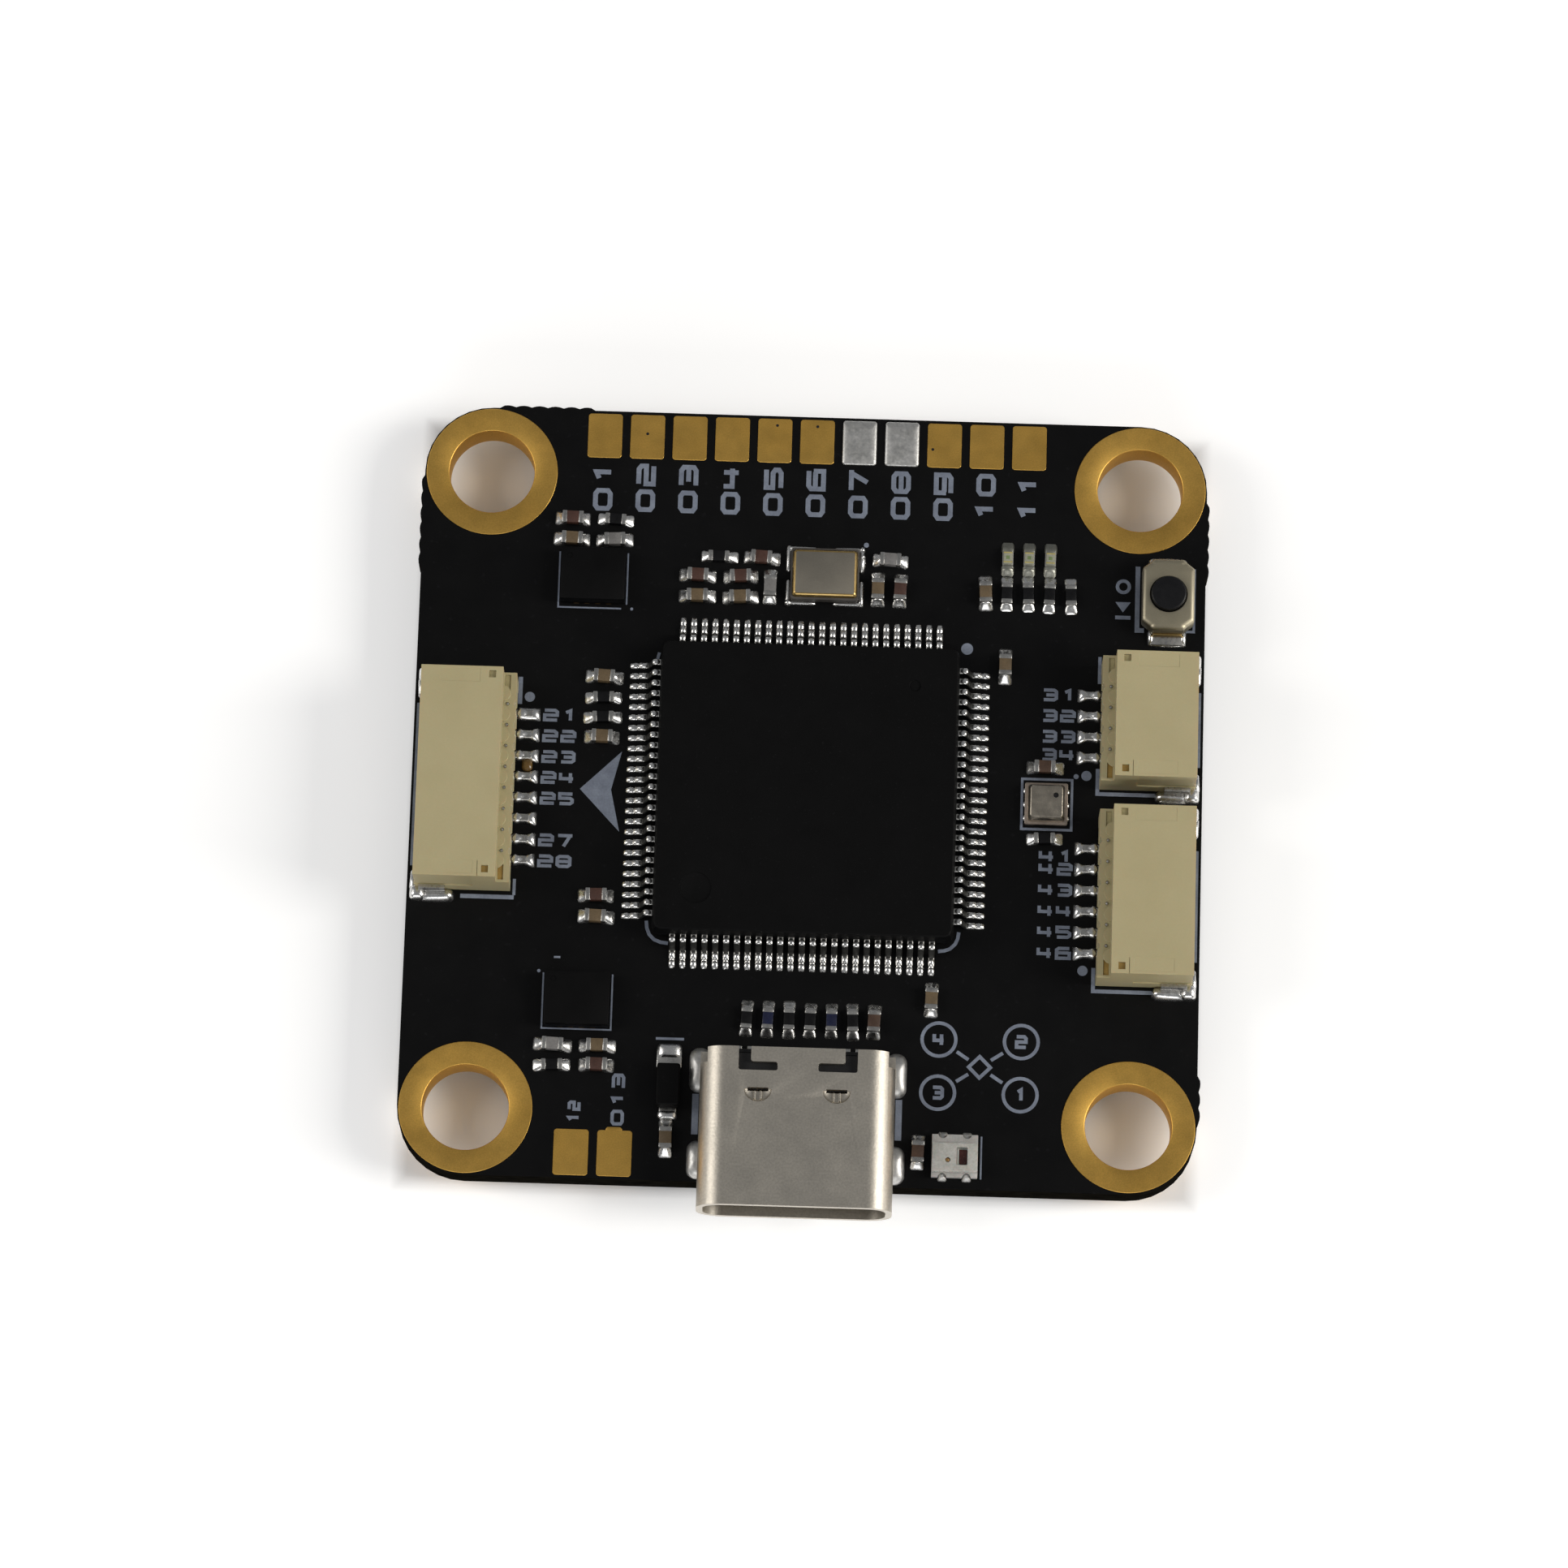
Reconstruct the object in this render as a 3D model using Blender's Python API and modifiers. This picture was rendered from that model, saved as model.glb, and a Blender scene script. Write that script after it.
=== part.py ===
"""Flight controller board for a small multirotor, with every soldered part as its own object.

The model is in metres, +Z up. The origin is the centre of the 30.5 mm hole pattern, on the plane
that the lowest parts of the underside rest on. The USB socket looks along -Y.
"""

import math

import bmesh
import bpy
from mathutils import Matrix, Vector

MM = 0.001  # metres in a millimetre: every length below is in millimetres
GAP = 0.01  # air between a part and what it is soldered or pressed to
WELD = 1e-5  # vertices this close are one
SEAM_WELD = 1e-7  # the same along a turned part's seam, in metres
FLAT_ANGLE = 0.01  # faces that meet at less than this, in radians, are one
CIRCLE_STEPS = 32
CORNER_STEPS = 8
DOME_STEPS = 3
VENT_STEPS = 16
MARK_STEPS = 24
BEYOND = 1.0  # how far a cutter runs past the face that it opens

# Board
BOARD_SIZE = 36.8
BOARD_THICKNESS = 1.6
BOARD_CORNER = 3.15
BOARD_LIFT = 1.2  # from the plane it rests on up to its lower face: the tallest underside part
BOARD_TOP = BOARD_LIFT + BOARD_THICKNESS
HOLE_SPACING = 30.5
HOLE_RADIUS = 2.0
PLATING_WALL = 0.1
RING_RADIUS = 3.08
RING_THICKNESS = 0.04
BARREL_CLEARANCE = 0.02
# Stubs left where the board was snapped out of its panel: low, with round scallops. Each edge,
# anticlockwise from the right one, has (start along the edge, number of scallops).
STUB_PITCH = 0.75
STUB_HEIGHT = 0.14
STUB_VALLEY = 0.06
STUB_CREST = ((0.28, 0.8), (0.5, 1.0), (0.72, 0.8))  # share of the pitch, share of the rise
STUBS = (((-15.0, 3), (11.0, 5)), ((10.5, 6),), ((-15.0, 6),), ())

# Microcontroller, a 100-lead flat pack, and the on-screen-display chip below it
MCU_SIZE = 14.0
MCU_STANDOFF = 0.1
MCU_HEIGHT = 1.5
MCU_LEADS_A_SIDE = 25
MCU_PITCH = 0.5
MCU_LEAD_WIDTH = 0.22
MCU_SPAN = 16.0
MCU_CORNER = 0.35
MCU_DRAFT = 0.12
MCU_MOULD_MARKS = ((0.75, (-5.0, -4.9)), (0.28, (4.9, 5.05)))  # radius, place
MCU_MOULD_MARK_DEPTH = 0.06
DISPLAY_CHIP_SIZE = (9.7, 4.4)
DISPLAY_CHIP_LEADS = 14
DISPLAY_CHIP_PITCH = 0.65
DISPLAY_CHIP_LEAD_WIDTH = 0.25
DISPLAY_CHIP_SPAN = 6.4
DISPLAY_CHIP_CORNER = 0.12
DISPLAY_CHIP_DRAFT = 0.1
LEAD_THICKNESS = 0.13
LEAD_FOOT = 0.52
LEAD_SEAT = 0.35  # how far the leadframe's groove reaches into the moulded body
LEAD_SEAT_CLEARANCE = 0.06
LEAD_KNEE = 0.26  # from the body's side to the first bend
LEAD_BAR = 0.2
GROOVE_CLEARANCE = 0.04
GROOVE_END = 0.05

# Sensors and crystal
GYRO_SIZE = (3.0, 2.5, 0.9)
GYRO_CORNER = 0.05
GYRO_PLACES = ((-10.3, 10.2), (-10.3, -10.1))
CRYSTAL_PLACE = (0.55, 10.6)
CRYSTAL_SIZE = (3.2, 2.5)
CRYSTAL_BASE_HEIGHT = 0.5
CRYSTAL_HEIGHT = 0.72
CRYSTAL_BASE_CORNER = 0.15
CRYSTAL_LID_INSET = 0.16
CRYSTAL_LID_CORNER = 0.2
CRYSTAL_LID_EDGE = 0.07
BAROMETER_PLACE = (11.15, -0.1)
BAROMETER_SIZE = 2.0
BAROMETER_BASE_HEIGHT = 0.25
BAROMETER_HEIGHT = 0.76
BAROMETER_LID_INSET = 0.125
BAROMETER_LID_CORNER = 0.2
BAROMETER_LID_EDGE = 0.14
VENT_DEPTH = 0.25
VENT_RADIUS = 0.13
VENT_OFFSET = (0.43, 0.3)

# Boot button
BUTTON_PLACE = (16.62, 9.93)
BUTTON_HALF_WIDTH = 1.22
BUTTON_HALF_LENGTH = 1.72
BUTTON_NECK_HALF_WIDTH = 0.82
BUTTON_SHOULDER = 1.32  # where the wide middle ends
BUTTON_NOTCH = 1.56  # where the neck begins
BUTTON_SHEET = 0.12
BUTTON_ROLL = 0.12
BUTTON_BASE_INSET = 0.15
BUTTON_BASE_CLEARANCE = 0.04
BUTTON_BORE_CLEARANCE = 0.05
BUTTON_FLANGE_CLEARANCE = 0.03
BUTTON_FLANGE = 0.18
BUTTON_STEM_EDGE = 0.06
BUTTON_NUB_RADIUS = 0.3
BUTTON_TERMINAL_CORNER = 0.12
BUTTON_COVER_TOP = 1.2
BUTTON_COVER_FOOT = 0.32
BUTTON_BASE_FOOT = 0.21
BUTTON_FLOOR = 0.34
BUTTON_WELL_RADIUS = 1.0
BUTTON_FLANGE_RADIUS = 0.92
BUTTON_STEM_RADIUS = 0.82
BUTTON_TOP = 1.45
BUTTON_TRAVEL = 0.25
BUTTON_DOME_RADIUS = 0.9
BUTTON_DOME_HEIGHT = 0.22
BUTTON_DOME_SHEET = 0.05
BUTTON_TERMINAL = (1.6, 1.15, 0.15)
BUTTON_TERMINALS = (("rear", 1, 1.98), ("front", -1, 2.2))  # name, side, reach

# Wire-to-board sockets, side entry, 1.0 mm pitch. Their own frame has X along the row of contacts,
# and Y from the mouth at 0 to the solder tails.
SOCKET_PITCH = 1.0
SOCKET_END = 3.0  # width beyond the pitches
SOCKET_HEIGHT = 2.9
SOCKET_TOP_DEPTH = 3.8
SOCKET_DEPTH = 4.4
SOCKET_STEP_HEIGHT = 1.95
SOCKET_CAVITY_END = 1.5
SOCKET_CAVITY_DEPTH = 2.95
SOCKET_CAVITY_FLOOR = 0.55
SOCKET_CAVITY_TOP = 2.35
SOCKET_KEY_WIDTH = 0.5
SOCKET_KEY_INSET = 0.2
SOCKET_KEY_TOP = 2.62
SOCKET_KEY_END = 1.95
SOCKET_FOOT = 0.05
SOCKET_RECESS_MARGIN = 0.4
SOCKET_RECESS_START = 2.6
SOCKET_RECESS_TOP = 0.32
SOCKET_CONTACT_OPENING = (0.1, 1.0)
SOCKET_CONTACT_SHEET = 0.2
SOCKET_CONTACT_WIDTH = 0.34
SOCKET_CONTACT_PATH = ((0.9, 1.45), (2.78, 1.45), (2.78, 0.13), (5.15, 0.13))
SOCKET_BAR = (3.2, 4.0)
SOCKET_TAB_SHEET = 0.2
SOCKET_TAB_HEIGHT = 1.0
SOCKET_TAB_REACH = 0.42
SOCKET_TAB_DEPTH = (0.2, 1.4)
SOCKETS = (
    # name, ways, place of the mouth's middle, turn of its own frame in degrees
    ("socket_8_way", 8, (-18.0, 0.0), -90.0),
    ("socket_4_way", 4, (18.0, 3.7), 90.0),
    ("socket_6_way", 6, (18.0, -4.65), 90.0),
)

# USB socket. Its own frame has Y from the mouth at 0 to the back.
USB_FRONT = -20.0
USB_WIDTH = 8.94
USB_HEIGHT = 3.16
USB_DEPTH = 7.35
USB_CORNER = 1.2
USB_SHEET = 0.3
USB_FOOT = 0.04
USB_MIDDLE = USB_FOOT + USB_HEIGHT / 2
USB_LEG_THICKNESS = 0.22
USB_LEG_REACH = 4.32
USB_LEG_DEPTH = 1.0
USB_LEGS = ((2.6, 0.9), (6.8, 1.0))  # each leg's place along Y, and its width
USB_SLOT = (0.6, 1.6)
USB_SLOT_CORNER = 0.2998  # just short of half the slot's width, so that the end arcs stay apart
USB_FLAP_SLOT = ((1.1, 6.25), (2.72, 6.25), (2.72, 7.7), (2.15, 7.7), (2.15, 6.65), (1.1, 6.65))
USB_FLAP_DEPTH = 0.4
USB_CORNER_NOTCH = (4.15, 6.65)  # the shell's sides stop short at its rear corners
USB_REAR_OPENING = (6.8, 1.4, 0.7)  # width, depth and height, for the solder tails
USB_INSULATOR = (5.4, 7.1)
USB_TONGUE_WIDTH = 6.69
USB_TONGUE_HEIGHT = 0.7
USB_TONGUE_START = 0.9
USB_TONGUE_ROOT = 0.5
USB_CONTACTS = 12
USB_PITCH = 0.5
USB_CONTACT_WIDTH = 0.25
USB_CONTACT_SHEET = 0.06
USB_CONTACT_SPAN = (1.35, 5.3)
USB_BAR = 0.3
USB_TAIL_SHEET = 0.12
USB_TAIL_SPAN = (6.2, 8.0)

# Lamps and diode
RGB_PLACE = (7.3, -16.9)
RGB_SIZE = (2.2, 2.0, 0.84)
RGB_WINDOW = ((-0.62, -0.5), (0.72, 0.5))
RGB_WINDOW_DEPTH = 0.4
RGB_CORNER = 0.08
RGB_LENS_SINK = 0.03
STATUS_LAMP_PLACES = ((9.1, 11.7), (10.1, 11.7), (11.1, 11.7))
STATUS_LAMP_SIZE = (0.5, 1.0, 0.35)
STATUS_LENS = (0.44, 0.6, 0.42)
STATUS_LENS_DEPTH = 0.17
STATUS_LENS_EDGE = 0.04
DIODE_PLACE = (-5.95, -14.05)
DIODE_SIZE = (1.2, 2.1, 1.0)
DIODE_TERMINALS = (("diode_cathode", 1, 1.15, 0.7), ("diode_anode", -1, 0.8, 0.26))
DIODE_TERMINAL_SEAT = 0.5
DIODE_TERMINAL_SHEET = 0.16
DIODE_CORNER = 0.05

# Underside power and memory parts: name, size with height, place
UNDERSIDE_BLOCKS = (
    ("memory_chip", (8.0, 6.0, 0.8), (9.3, 4.2)),
    ("power_inductor_1", (4.0, 4.0, 1.2), (-9.5, -9.5)),
    ("power_inductor_2", (4.0, 4.0, 1.2), (9.5, -9.5)),
    ("bulk_capacitor_1", (3.2, 2.5, 1.2), (-4.5, 11.0)),
    ("bulk_capacitor_2", (3.2, 2.5, 1.2), (4.5, 11.0)),
)
UNDERSIDE_REGULATORS = (
    ("buck_regulator_1", (-9.5, -4.6)),
    ("buck_regulator_2", (9.5, -4.6)),
    ("linear_regulator", (-9.5, 4.2)),
)
REGULATOR_SIZE = (2.9, 1.6)
REGULATOR_STANDOFF = 0.1
REGULATOR_HEIGHT = 1.1
REGULATOR_CORNER = 0.06
REGULATOR_DRAFT = 0.08
INDUCTOR_CORNER = 0.45
BLOCK_CORNER = 0.06

# Colour, roughness and metallic of each kind of surface
LOOKS = {
    "solder_mask": ((0.006, 0.006, 0.007), 0.45, 0.0),
    "gold": ((0.72, 0.48, 0.13), 0.35, 1.0),
    "epoxy": ((0.012, 0.012, 0.013), 0.6, 0.0),
    "tin": ((0.62, 0.61, 0.58), 0.3, 1.0),
    "steel": ((0.55, 0.53, 0.49), 0.35, 1.0),
    "kovar": ((0.5, 0.48, 0.45), 0.35, 1.0),
    "cream_plastic": ((0.66, 0.58, 0.38), 0.55, 0.0),
    "black_plastic": ((0.015, 0.015, 0.015), 0.5, 0.0),
    "white_plastic": ((0.75, 0.74, 0.7), 0.5, 0.0),
    "ceramic": ((0.25, 0.24, 0.22), 0.6, 0.0),
    "capacitor_ceramic": ((0.3, 0.2, 0.13), 0.6, 0.0),
    "resin": ((0.8, 0.78, 0.68), 0.15, 0.0),
    "ferrite": ((0.1, 0.1, 0.1), 0.7, 0.0),
}


# ---- Building tools -------------------------------------------------------------------------


def clear_scene():
    """Removes every object of the start-up file."""
    for item in list(bpy.data.objects):
        bpy.data.objects.remove(item, do_unlink=True)


def new_collection(name):
    """A collection in the scene."""
    collection = bpy.data.collections.new(name)
    bpy.context.scene.collection.children.link(collection)
    return collection


def new_material(name, look):
    """The Principled material of one part."""
    colour, roughness, metallic = LOOKS[look]
    material = bpy.data.materials.new(name)
    material.use_nodes = True
    shader = material.node_tree.nodes["Principled BSDF"]
    shader.inputs["Base Color"].default_value = (*colour, 1.0)
    shader.inputs["Roughness"].default_value = roughness
    shader.inputs["Metallic"].default_value = metallic
    return material


def mesh_in_metres(name, bm):
    """A mesh made from a bmesh that was drawn in millimetres."""
    bmesh.ops.scale(bm, vec=(MM, MM, MM), verts=bm.verts)
    mesh = bpy.data.meshes.new(name)
    bm.to_mesh(mesh)
    bm.free()
    return mesh


def put(item, place, turn, underside):
    """Sets an object's place on the board's top or lower face, turned about Z by degrees."""
    height = BOARD_LIFT if underside else BOARD_TOP
    item.location = (place[0] * MM, place[1] * MM, height * MM)
    item.rotation_euler = (math.pi if underside else 0.0, 0.0, math.radians(turn))


def new_part(name, bm, look, place=(0.0, 0.0), turn=0.0, underside=False):
    """A named part, with its own material, standing on one face of the board."""
    mesh = mesh_in_metres(name, bm)
    part = bpy.data.objects.new(name, mesh)
    mesh.materials.append(new_material(name, look))
    PARTS.objects.link(part)
    put(part, place, turn, underside)
    return part


def cut(part, bm, operation="DIFFERENCE"):
    """Takes a solid drawn in the part's own frame away from it, or adds it."""
    name = f"{part.name}_tool_{len(part.modifiers) + 1}"
    tool = bpy.data.objects.new(name, mesh_in_metres(name, bm))
    TOOLS.objects.link(tool)
    tool.location = part.location
    tool.rotation_euler = part.rotation_euler
    tool.hide_render = True
    tool.display_type = "WIRE"
    modifier = part.modifiers.new(operation.lower(), "BOOLEAN")
    modifier.operation = operation
    modifier.solver = "EXACT"
    modifier.object = tool


def add_box(bm, low, high):
    """Adds a box between two corners."""
    low = Vector(low)
    high = Vector(high)
    scale = Matrix.Diagonal((*(high - low), 1.0))
    bmesh.ops.create_cube(bm, size=1.0, matrix=Matrix.Translation((low + high) / 2) @ scale)


def boxes(*corners):
    """A bmesh of boxes, each given by its lowest and highest corner."""
    bm = bmesh.new()
    for low, high in corners:
        add_box(bm, low, high)
    return bm


def slab(width, length, bottom, top):
    """A box centred on the part's own Z axis."""
    return boxes(((-width / 2, -length / 2, bottom), (width / 2, length / 2, top)))


def cylinder(radius, bottom, top, centre=(0.0, 0.0), steps=CIRCLE_STEPS):
    """An upright cylinder."""
    bm = bmesh.new()
    middle = Matrix.Translation((centre[0], centre[1], (bottom + top) / 2))
    bmesh.ops.create_cone(
        bm,
        cap_ends=True,
        segments=steps,
        radius1=radius,
        radius2=radius,
        depth=top - bottom,
        matrix=middle,
    )
    return bm


def is_upright(edge):
    """Whether an edge runs more along Z than across it."""
    run = edge.verts[1].co - edge.verts[0].co
    return abs(run.z) > run.xy.length


def round_upright_edges(bm, radius, segments):
    """Rounds or chamfers the edges that stand on the board."""
    edges = [edge for edge in bm.edges if is_upright(edge)]
    bmesh.ops.bevel(bm, geom=edges, offset=radius, segments=segments, affect="EDGES", profile=0.5)
    return bm


def round_top_edges(bm, top, width):
    """Chamfers the edges around a block's top face."""
    bmesh.ops.dissolve_limit(bm, angle_limit=FLAT_ANGLE, verts=bm.verts, edges=bm.edges)
    edges = [edge for edge in bm.edges if all(abs(v.co.z - top) < WELD for v in edge.verts)]
    bmesh.ops.bevel(bm, geom=edges, offset=width, segments=1, affect="EDGES", profile=0.5)
    bmesh.ops.recalc_face_normals(bm, faces=bm.faces)
    return bm


def outline_prism(loops, depth):
    """A flat outline, whose inner loops are holes, raised from z = 0 to a depth."""
    curve = bpy.data.curves.new("outline", "CURVE")
    curve.dimensions = "2D"
    curve.fill_mode = "BOTH"
    curve.extrude = depth / 2
    for loop in loops:
        spline = curve.splines.new("POLY")
        spline.points.add(len(loop) - 1)
        for point, (x, y) in zip(spline.points, loop):
            point.co = (x, y, 0.0, 1.0)
        spline.use_cyclic_u = True
    guide = bpy.data.objects.new("outline", curve)
    bpy.context.scene.collection.objects.link(guide)
    graph = bpy.context.evaluated_depsgraph_get()
    mesh = bpy.data.meshes.new_from_object(guide.evaluated_get(graph))
    bm = bmesh.new()
    bm.from_mesh(mesh)
    bpy.data.objects.remove(guide)
    bpy.data.curves.remove(curve)
    bpy.data.meshes.remove(mesh)
    bmesh.ops.remove_doubles(bm, verts=bm.verts, dist=WELD)
    bmesh.ops.translate(bm, vec=(0.0, 0.0, depth / 2), verts=bm.verts)
    bmesh.ops.recalc_face_normals(bm, faces=bm.faces)
    return bm


def side_prism(outline, width):
    """An outline in the YZ plane made a solid of a width along X, centred on X = 0."""
    bm = outline_prism([outline], width)
    turn = Matrix(((0, 0, 1, -width / 2), (1, 0, 0, 0), (0, 1, 0, 0), (0, 0, 0, 1)))
    bmesh.ops.transform(bm, matrix=turn, verts=bm.verts)
    return bm


def front_prism(loops, start, end):
    """An outline in the XZ plane made a solid between two places along Y."""
    bm = outline_prism(loops, end - start)
    turn = Matrix.Translation((0.0, end, 0.0)) @ Matrix.Rotation(math.pi / 2, 4, "X")
    bmesh.ops.transform(bm, matrix=turn, verts=bm.verts)
    return bm


def arc(centre, radius, start, end, steps):
    """Points on an arc, from one angle to another in degrees, both ends included."""
    points = []
    for i in range(steps + 1):
        angle = math.radians(start + (end - start) * i / steps)
        points.append((centre[0] + radius * math.cos(angle), centre[1] + radius * math.sin(angle)))
    return points


def circle(centre, radius):
    """Points all around a circle."""
    return arc(centre, radius, 0.0, 360.0, CIRCLE_STEPS)[:-1]


def rounded_rectangle(centre, width, height, radius):
    """Points around a rectangle with round corners, anticlockwise."""
    points = []
    for quarter, (side, rise) in enumerate(((1, 1), (-1, 1), (-1, -1), (1, -1))):
        x = centre[0] + side * (width / 2 - radius)
        y = centre[1] + rise * (height / 2 - radius)
        points += arc((x, y), radius, 90.0 * quarter, 90.0 * quarter + 90.0, CORNER_STEPS)
    return points


def strip_outline(path, thickness):
    """The outline of sheet metal bent along a path, with mitred bends."""
    points = [Vector(point) for point in path]
    runs = [(b - a).normalized() for a, b in zip(points, points[1:])]
    sides = []
    for i, point in enumerate(points):
        before = runs[max(i - 1, 0)]
        after = runs[min(i, len(runs) - 1)]
        mitre = (before + after).normalized()
        normal = Vector((-mitre.y, mitre.x))
        sides.append(normal * (thickness / 2 / mitre.dot(after)))
    upper = [point + side for point, side in zip(points, sides)]
    lower = [point - side for point, side in zip(points, sides)]
    return [tuple(point) for point in upper + lower[::-1]]


def bent_comb(name, path, thickness, count, pitch, finger, bar, place, turn, underside=False):
    """A stamped row of contacts: one bent sheet, slit into fingers on both sides of its bar."""
    row = (count - 1) * pitch
    sheet = side_prism(strip_outline(path, thickness), row + finger)
    part = new_part(name, sheet, "tin", place, turn, underside)
    far = BOARD_SIZE
    reach = ((-far, bar[0]), (bar[1], far))
    ends = (min(y for y, z in path), max(y for y, z in path))
    slits = bmesh.new()
    for start, end in reach:
        if end <= ends[0] or start >= ends[1]:
            continue
        for i in range(count - 1):
            left = -row / 2 + i * pitch + finger / 2
            add_box(slits, (left, start, -far), (left + pitch - finger, end, far))
    cut(part, slits)
    return part


def gull_leads(name, count, pitch, finger, edge, exit_height, span, place, turn, underside=False):
    """One side's row of gull-wing leads, running from inside the moulded body to the solder pads."""
    foot = 2 * GAP + LEAD_THICKNESS / 2
    inner = edge - LEAD_SEAT + LEAD_SEAT_CLEARANCE
    knee = edge + LEAD_KNEE
    ankle = span / 2 - LEAD_FOOT
    path = ((inner, exit_height), (knee, exit_height), (ankle, foot), (span / 2, foot))
    bar = (inner, inner + LEAD_BAR)
    return bent_comb(
        name, path, LEAD_THICKNESS, count, pitch, finger, bar, place, turn, underside
    )


def moulded_chip(width, length, bottom, top, corner, draft):
    """A moulded body with a parting line half-way up, tapered sides and chamfered corners."""
    bm = slab(width, length, bottom, top)
    middle = (bottom + top) / 2
    geometry = bm.verts[:] + bm.edges[:] + bm.faces[:]
    bmesh.ops.bisect_plane(bm, geom=geometry, plane_co=(0, 0, middle), plane_no=(0, 0, 1))
    for vert in bm.verts:
        if abs(vert.co.z - middle) > WELD:
            vert.co.x -= math.copysign(draft, vert.co.x)
            vert.co.y -= math.copysign(draft, vert.co.y)
    return round_upright_edges(bm, corner, 1)


def turned(name, profile, look, place, closed):
    """A turned part from a profile of (radius, height), run down its outer side."""
    bm = bmesh.new()
    verts = [bm.verts.new((radius, 0.0, height)) for radius, height in profile]
    pairs = list(zip(verts, verts[1:]))
    if closed:
        pairs.append((verts[-1], verts[0]))
    for pair in pairs:
        bm.edges.new(pair)
    part = new_part(name, bm, look, place)
    screw = part.modifiers.new("turn", "SCREW")
    screw.axis = "Z"
    screw.angle = math.tau
    screw.steps = CIRCLE_STEPS
    screw.render_steps = CIRCLE_STEPS
    screw.use_merge_vertices = True
    screw.merge_threshold = SEAM_WELD
    screw.use_smooth_shade = True
    return part


# ---- Board ----------------------------------------------------------------------------------


def board_outline():
    """The board's edge, anticlockwise: four round corners, with scallops where tabs snapped off."""
    half = BOARD_SIZE / 2
    straight = half - BOARD_CORNER
    points = []
    for quarter, stubs in enumerate(STUBS):
        side = []
        for start, count in stubs:
            for i in range(count):
                foot = start + i * STUB_PITCH
                side.append((half + (STUB_VALLEY if i else 0.0), foot))
                for share, rise in STUB_CREST:
                    crest = STUB_VALLEY + (STUB_HEIGHT - STUB_VALLEY) * rise
                    side.append((half + crest, foot + share * STUB_PITCH))
            side.append((half, start + count * STUB_PITCH))
        side += arc((straight, straight), BOARD_CORNER, 0.0, 90.0, CORNER_STEPS)
        turn = Matrix.Rotation(math.pi / 2 * quarter, 2)
        points += [tuple(turn @ Vector(point)) for point in side]
    return points


def hole_places():
    """The four mounting holes, anticlockwise from the one at +X +Y."""
    half = HOLE_SPACING / 2
    return [(side * half, rise * half) for side, rise in ((1, 1), (-1, 1), (-1, -1), (1, -1))]


def slot_places():
    """The four slots that the USB shell's legs stand in."""
    return [(s * USB_LEG_REACH, USB_FRONT + y) for s in (-1, 1) for y, width in USB_LEGS]


def make_board():
    """The laminate, with its mounting holes and leg slots, and a plated sleeve in each hole."""
    barrel = HOLE_RADIUS + PLATING_WALL
    loops = [board_outline()]
    loops += [circle(place, barrel + BARREL_CLEARANCE) for place in hole_places()]
    width, length = USB_SLOT
    loops += [rounded_rectangle(place, width, length, USB_SLOT_CORNER) for place in slot_places()]
    bm = outline_prism(loops, BOARD_THICKNESS)
    bmesh.ops.translate(bm, vec=(0.0, 0.0, -BOARD_THICKNESS), verts=bm.verts)
    new_part("circuit_board", bm, "solder_mask")
    top = GAP + RING_THICKNESS
    bottom = -BOARD_THICKNESS - top
    profile = (
        (HOLE_RADIUS, top),
        (RING_RADIUS, top),
        (RING_RADIUS, GAP),
        (barrel, GAP),
        (barrel, bottom + RING_THICKNESS),
        (RING_RADIUS, bottom + RING_THICKNESS),
        (RING_RADIUS, bottom),
        (HOLE_RADIUS, bottom),
    )
    for i, place in enumerate(hole_places()):
        turned(f"plated_hole_{i + 1}", profile, "gold", place, closed=True)


# ---- Chips and sensors ----------------------------------------------------------------------


def cut_lead_grooves(body, edges, exit_height, lengths):
    """Opens a groove in each leaded side of a chip, where its leadframe sits."""
    half = LEAD_THICKNESS / 2 + GROOVE_CLEARANCE
    grooves = bmesh.new()
    for (side_x, side_y), edge, length in zip(((1, 0), (-1, 0), (0, 1), (0, -1)), edges, lengths):
        if length == 0.0:
            continue
        near = edge - LEAD_SEAT
        far = edge + BEYOND
        along = length / 2
        xs = sorted((side_x * near, side_x * far)) if side_x else (-along, along)
        ys = sorted((side_y * near, side_y * far)) if side_y else (-along, along)
        low = (xs[0], ys[0], exit_height - half)
        high = (xs[1], ys[1], exit_height + half)
        add_box(grooves, low, high)
    cut(body, grooves)


def make_mcu():
    """The microcontroller: moulded body, two mould marks, and a row of leads on each side."""
    half = MCU_SIZE / 2
    exit_height = (MCU_STANDOFF + MCU_HEIGHT) / 2
    bm = moulded_chip(MCU_SIZE, MCU_SIZE, MCU_STANDOFF, MCU_HEIGHT, MCU_CORNER, MCU_DRAFT)
    body = new_part("mcu_body", bm, "epoxy")
    groove = (MCU_LEADS_A_SIDE - 1) * MCU_PITCH + MCU_LEAD_WIDTH + 2 * GROOVE_END
    cut_lead_grooves(body, (half,) * 4, exit_height, (groove,) * 4)
    for radius, place in MCU_MOULD_MARKS:
        floor = MCU_HEIGHT - MCU_MOULD_MARK_DEPTH
        cut(body, cylinder(radius, floor, MCU_HEIGHT + BEYOND, place, MARK_STEPS))
    for name, turn in (("rear", 0.0), ("left", 90.0), ("front", 180.0), ("right", 270.0)):
        gull_leads(
            f"mcu_leads_{name}",
            MCU_LEADS_A_SIDE,
            MCU_PITCH,
            MCU_LEAD_WIDTH,
            half,
            exit_height,
            MCU_SPAN,
            (0.0, 0.0),
            turn,
        )


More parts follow.
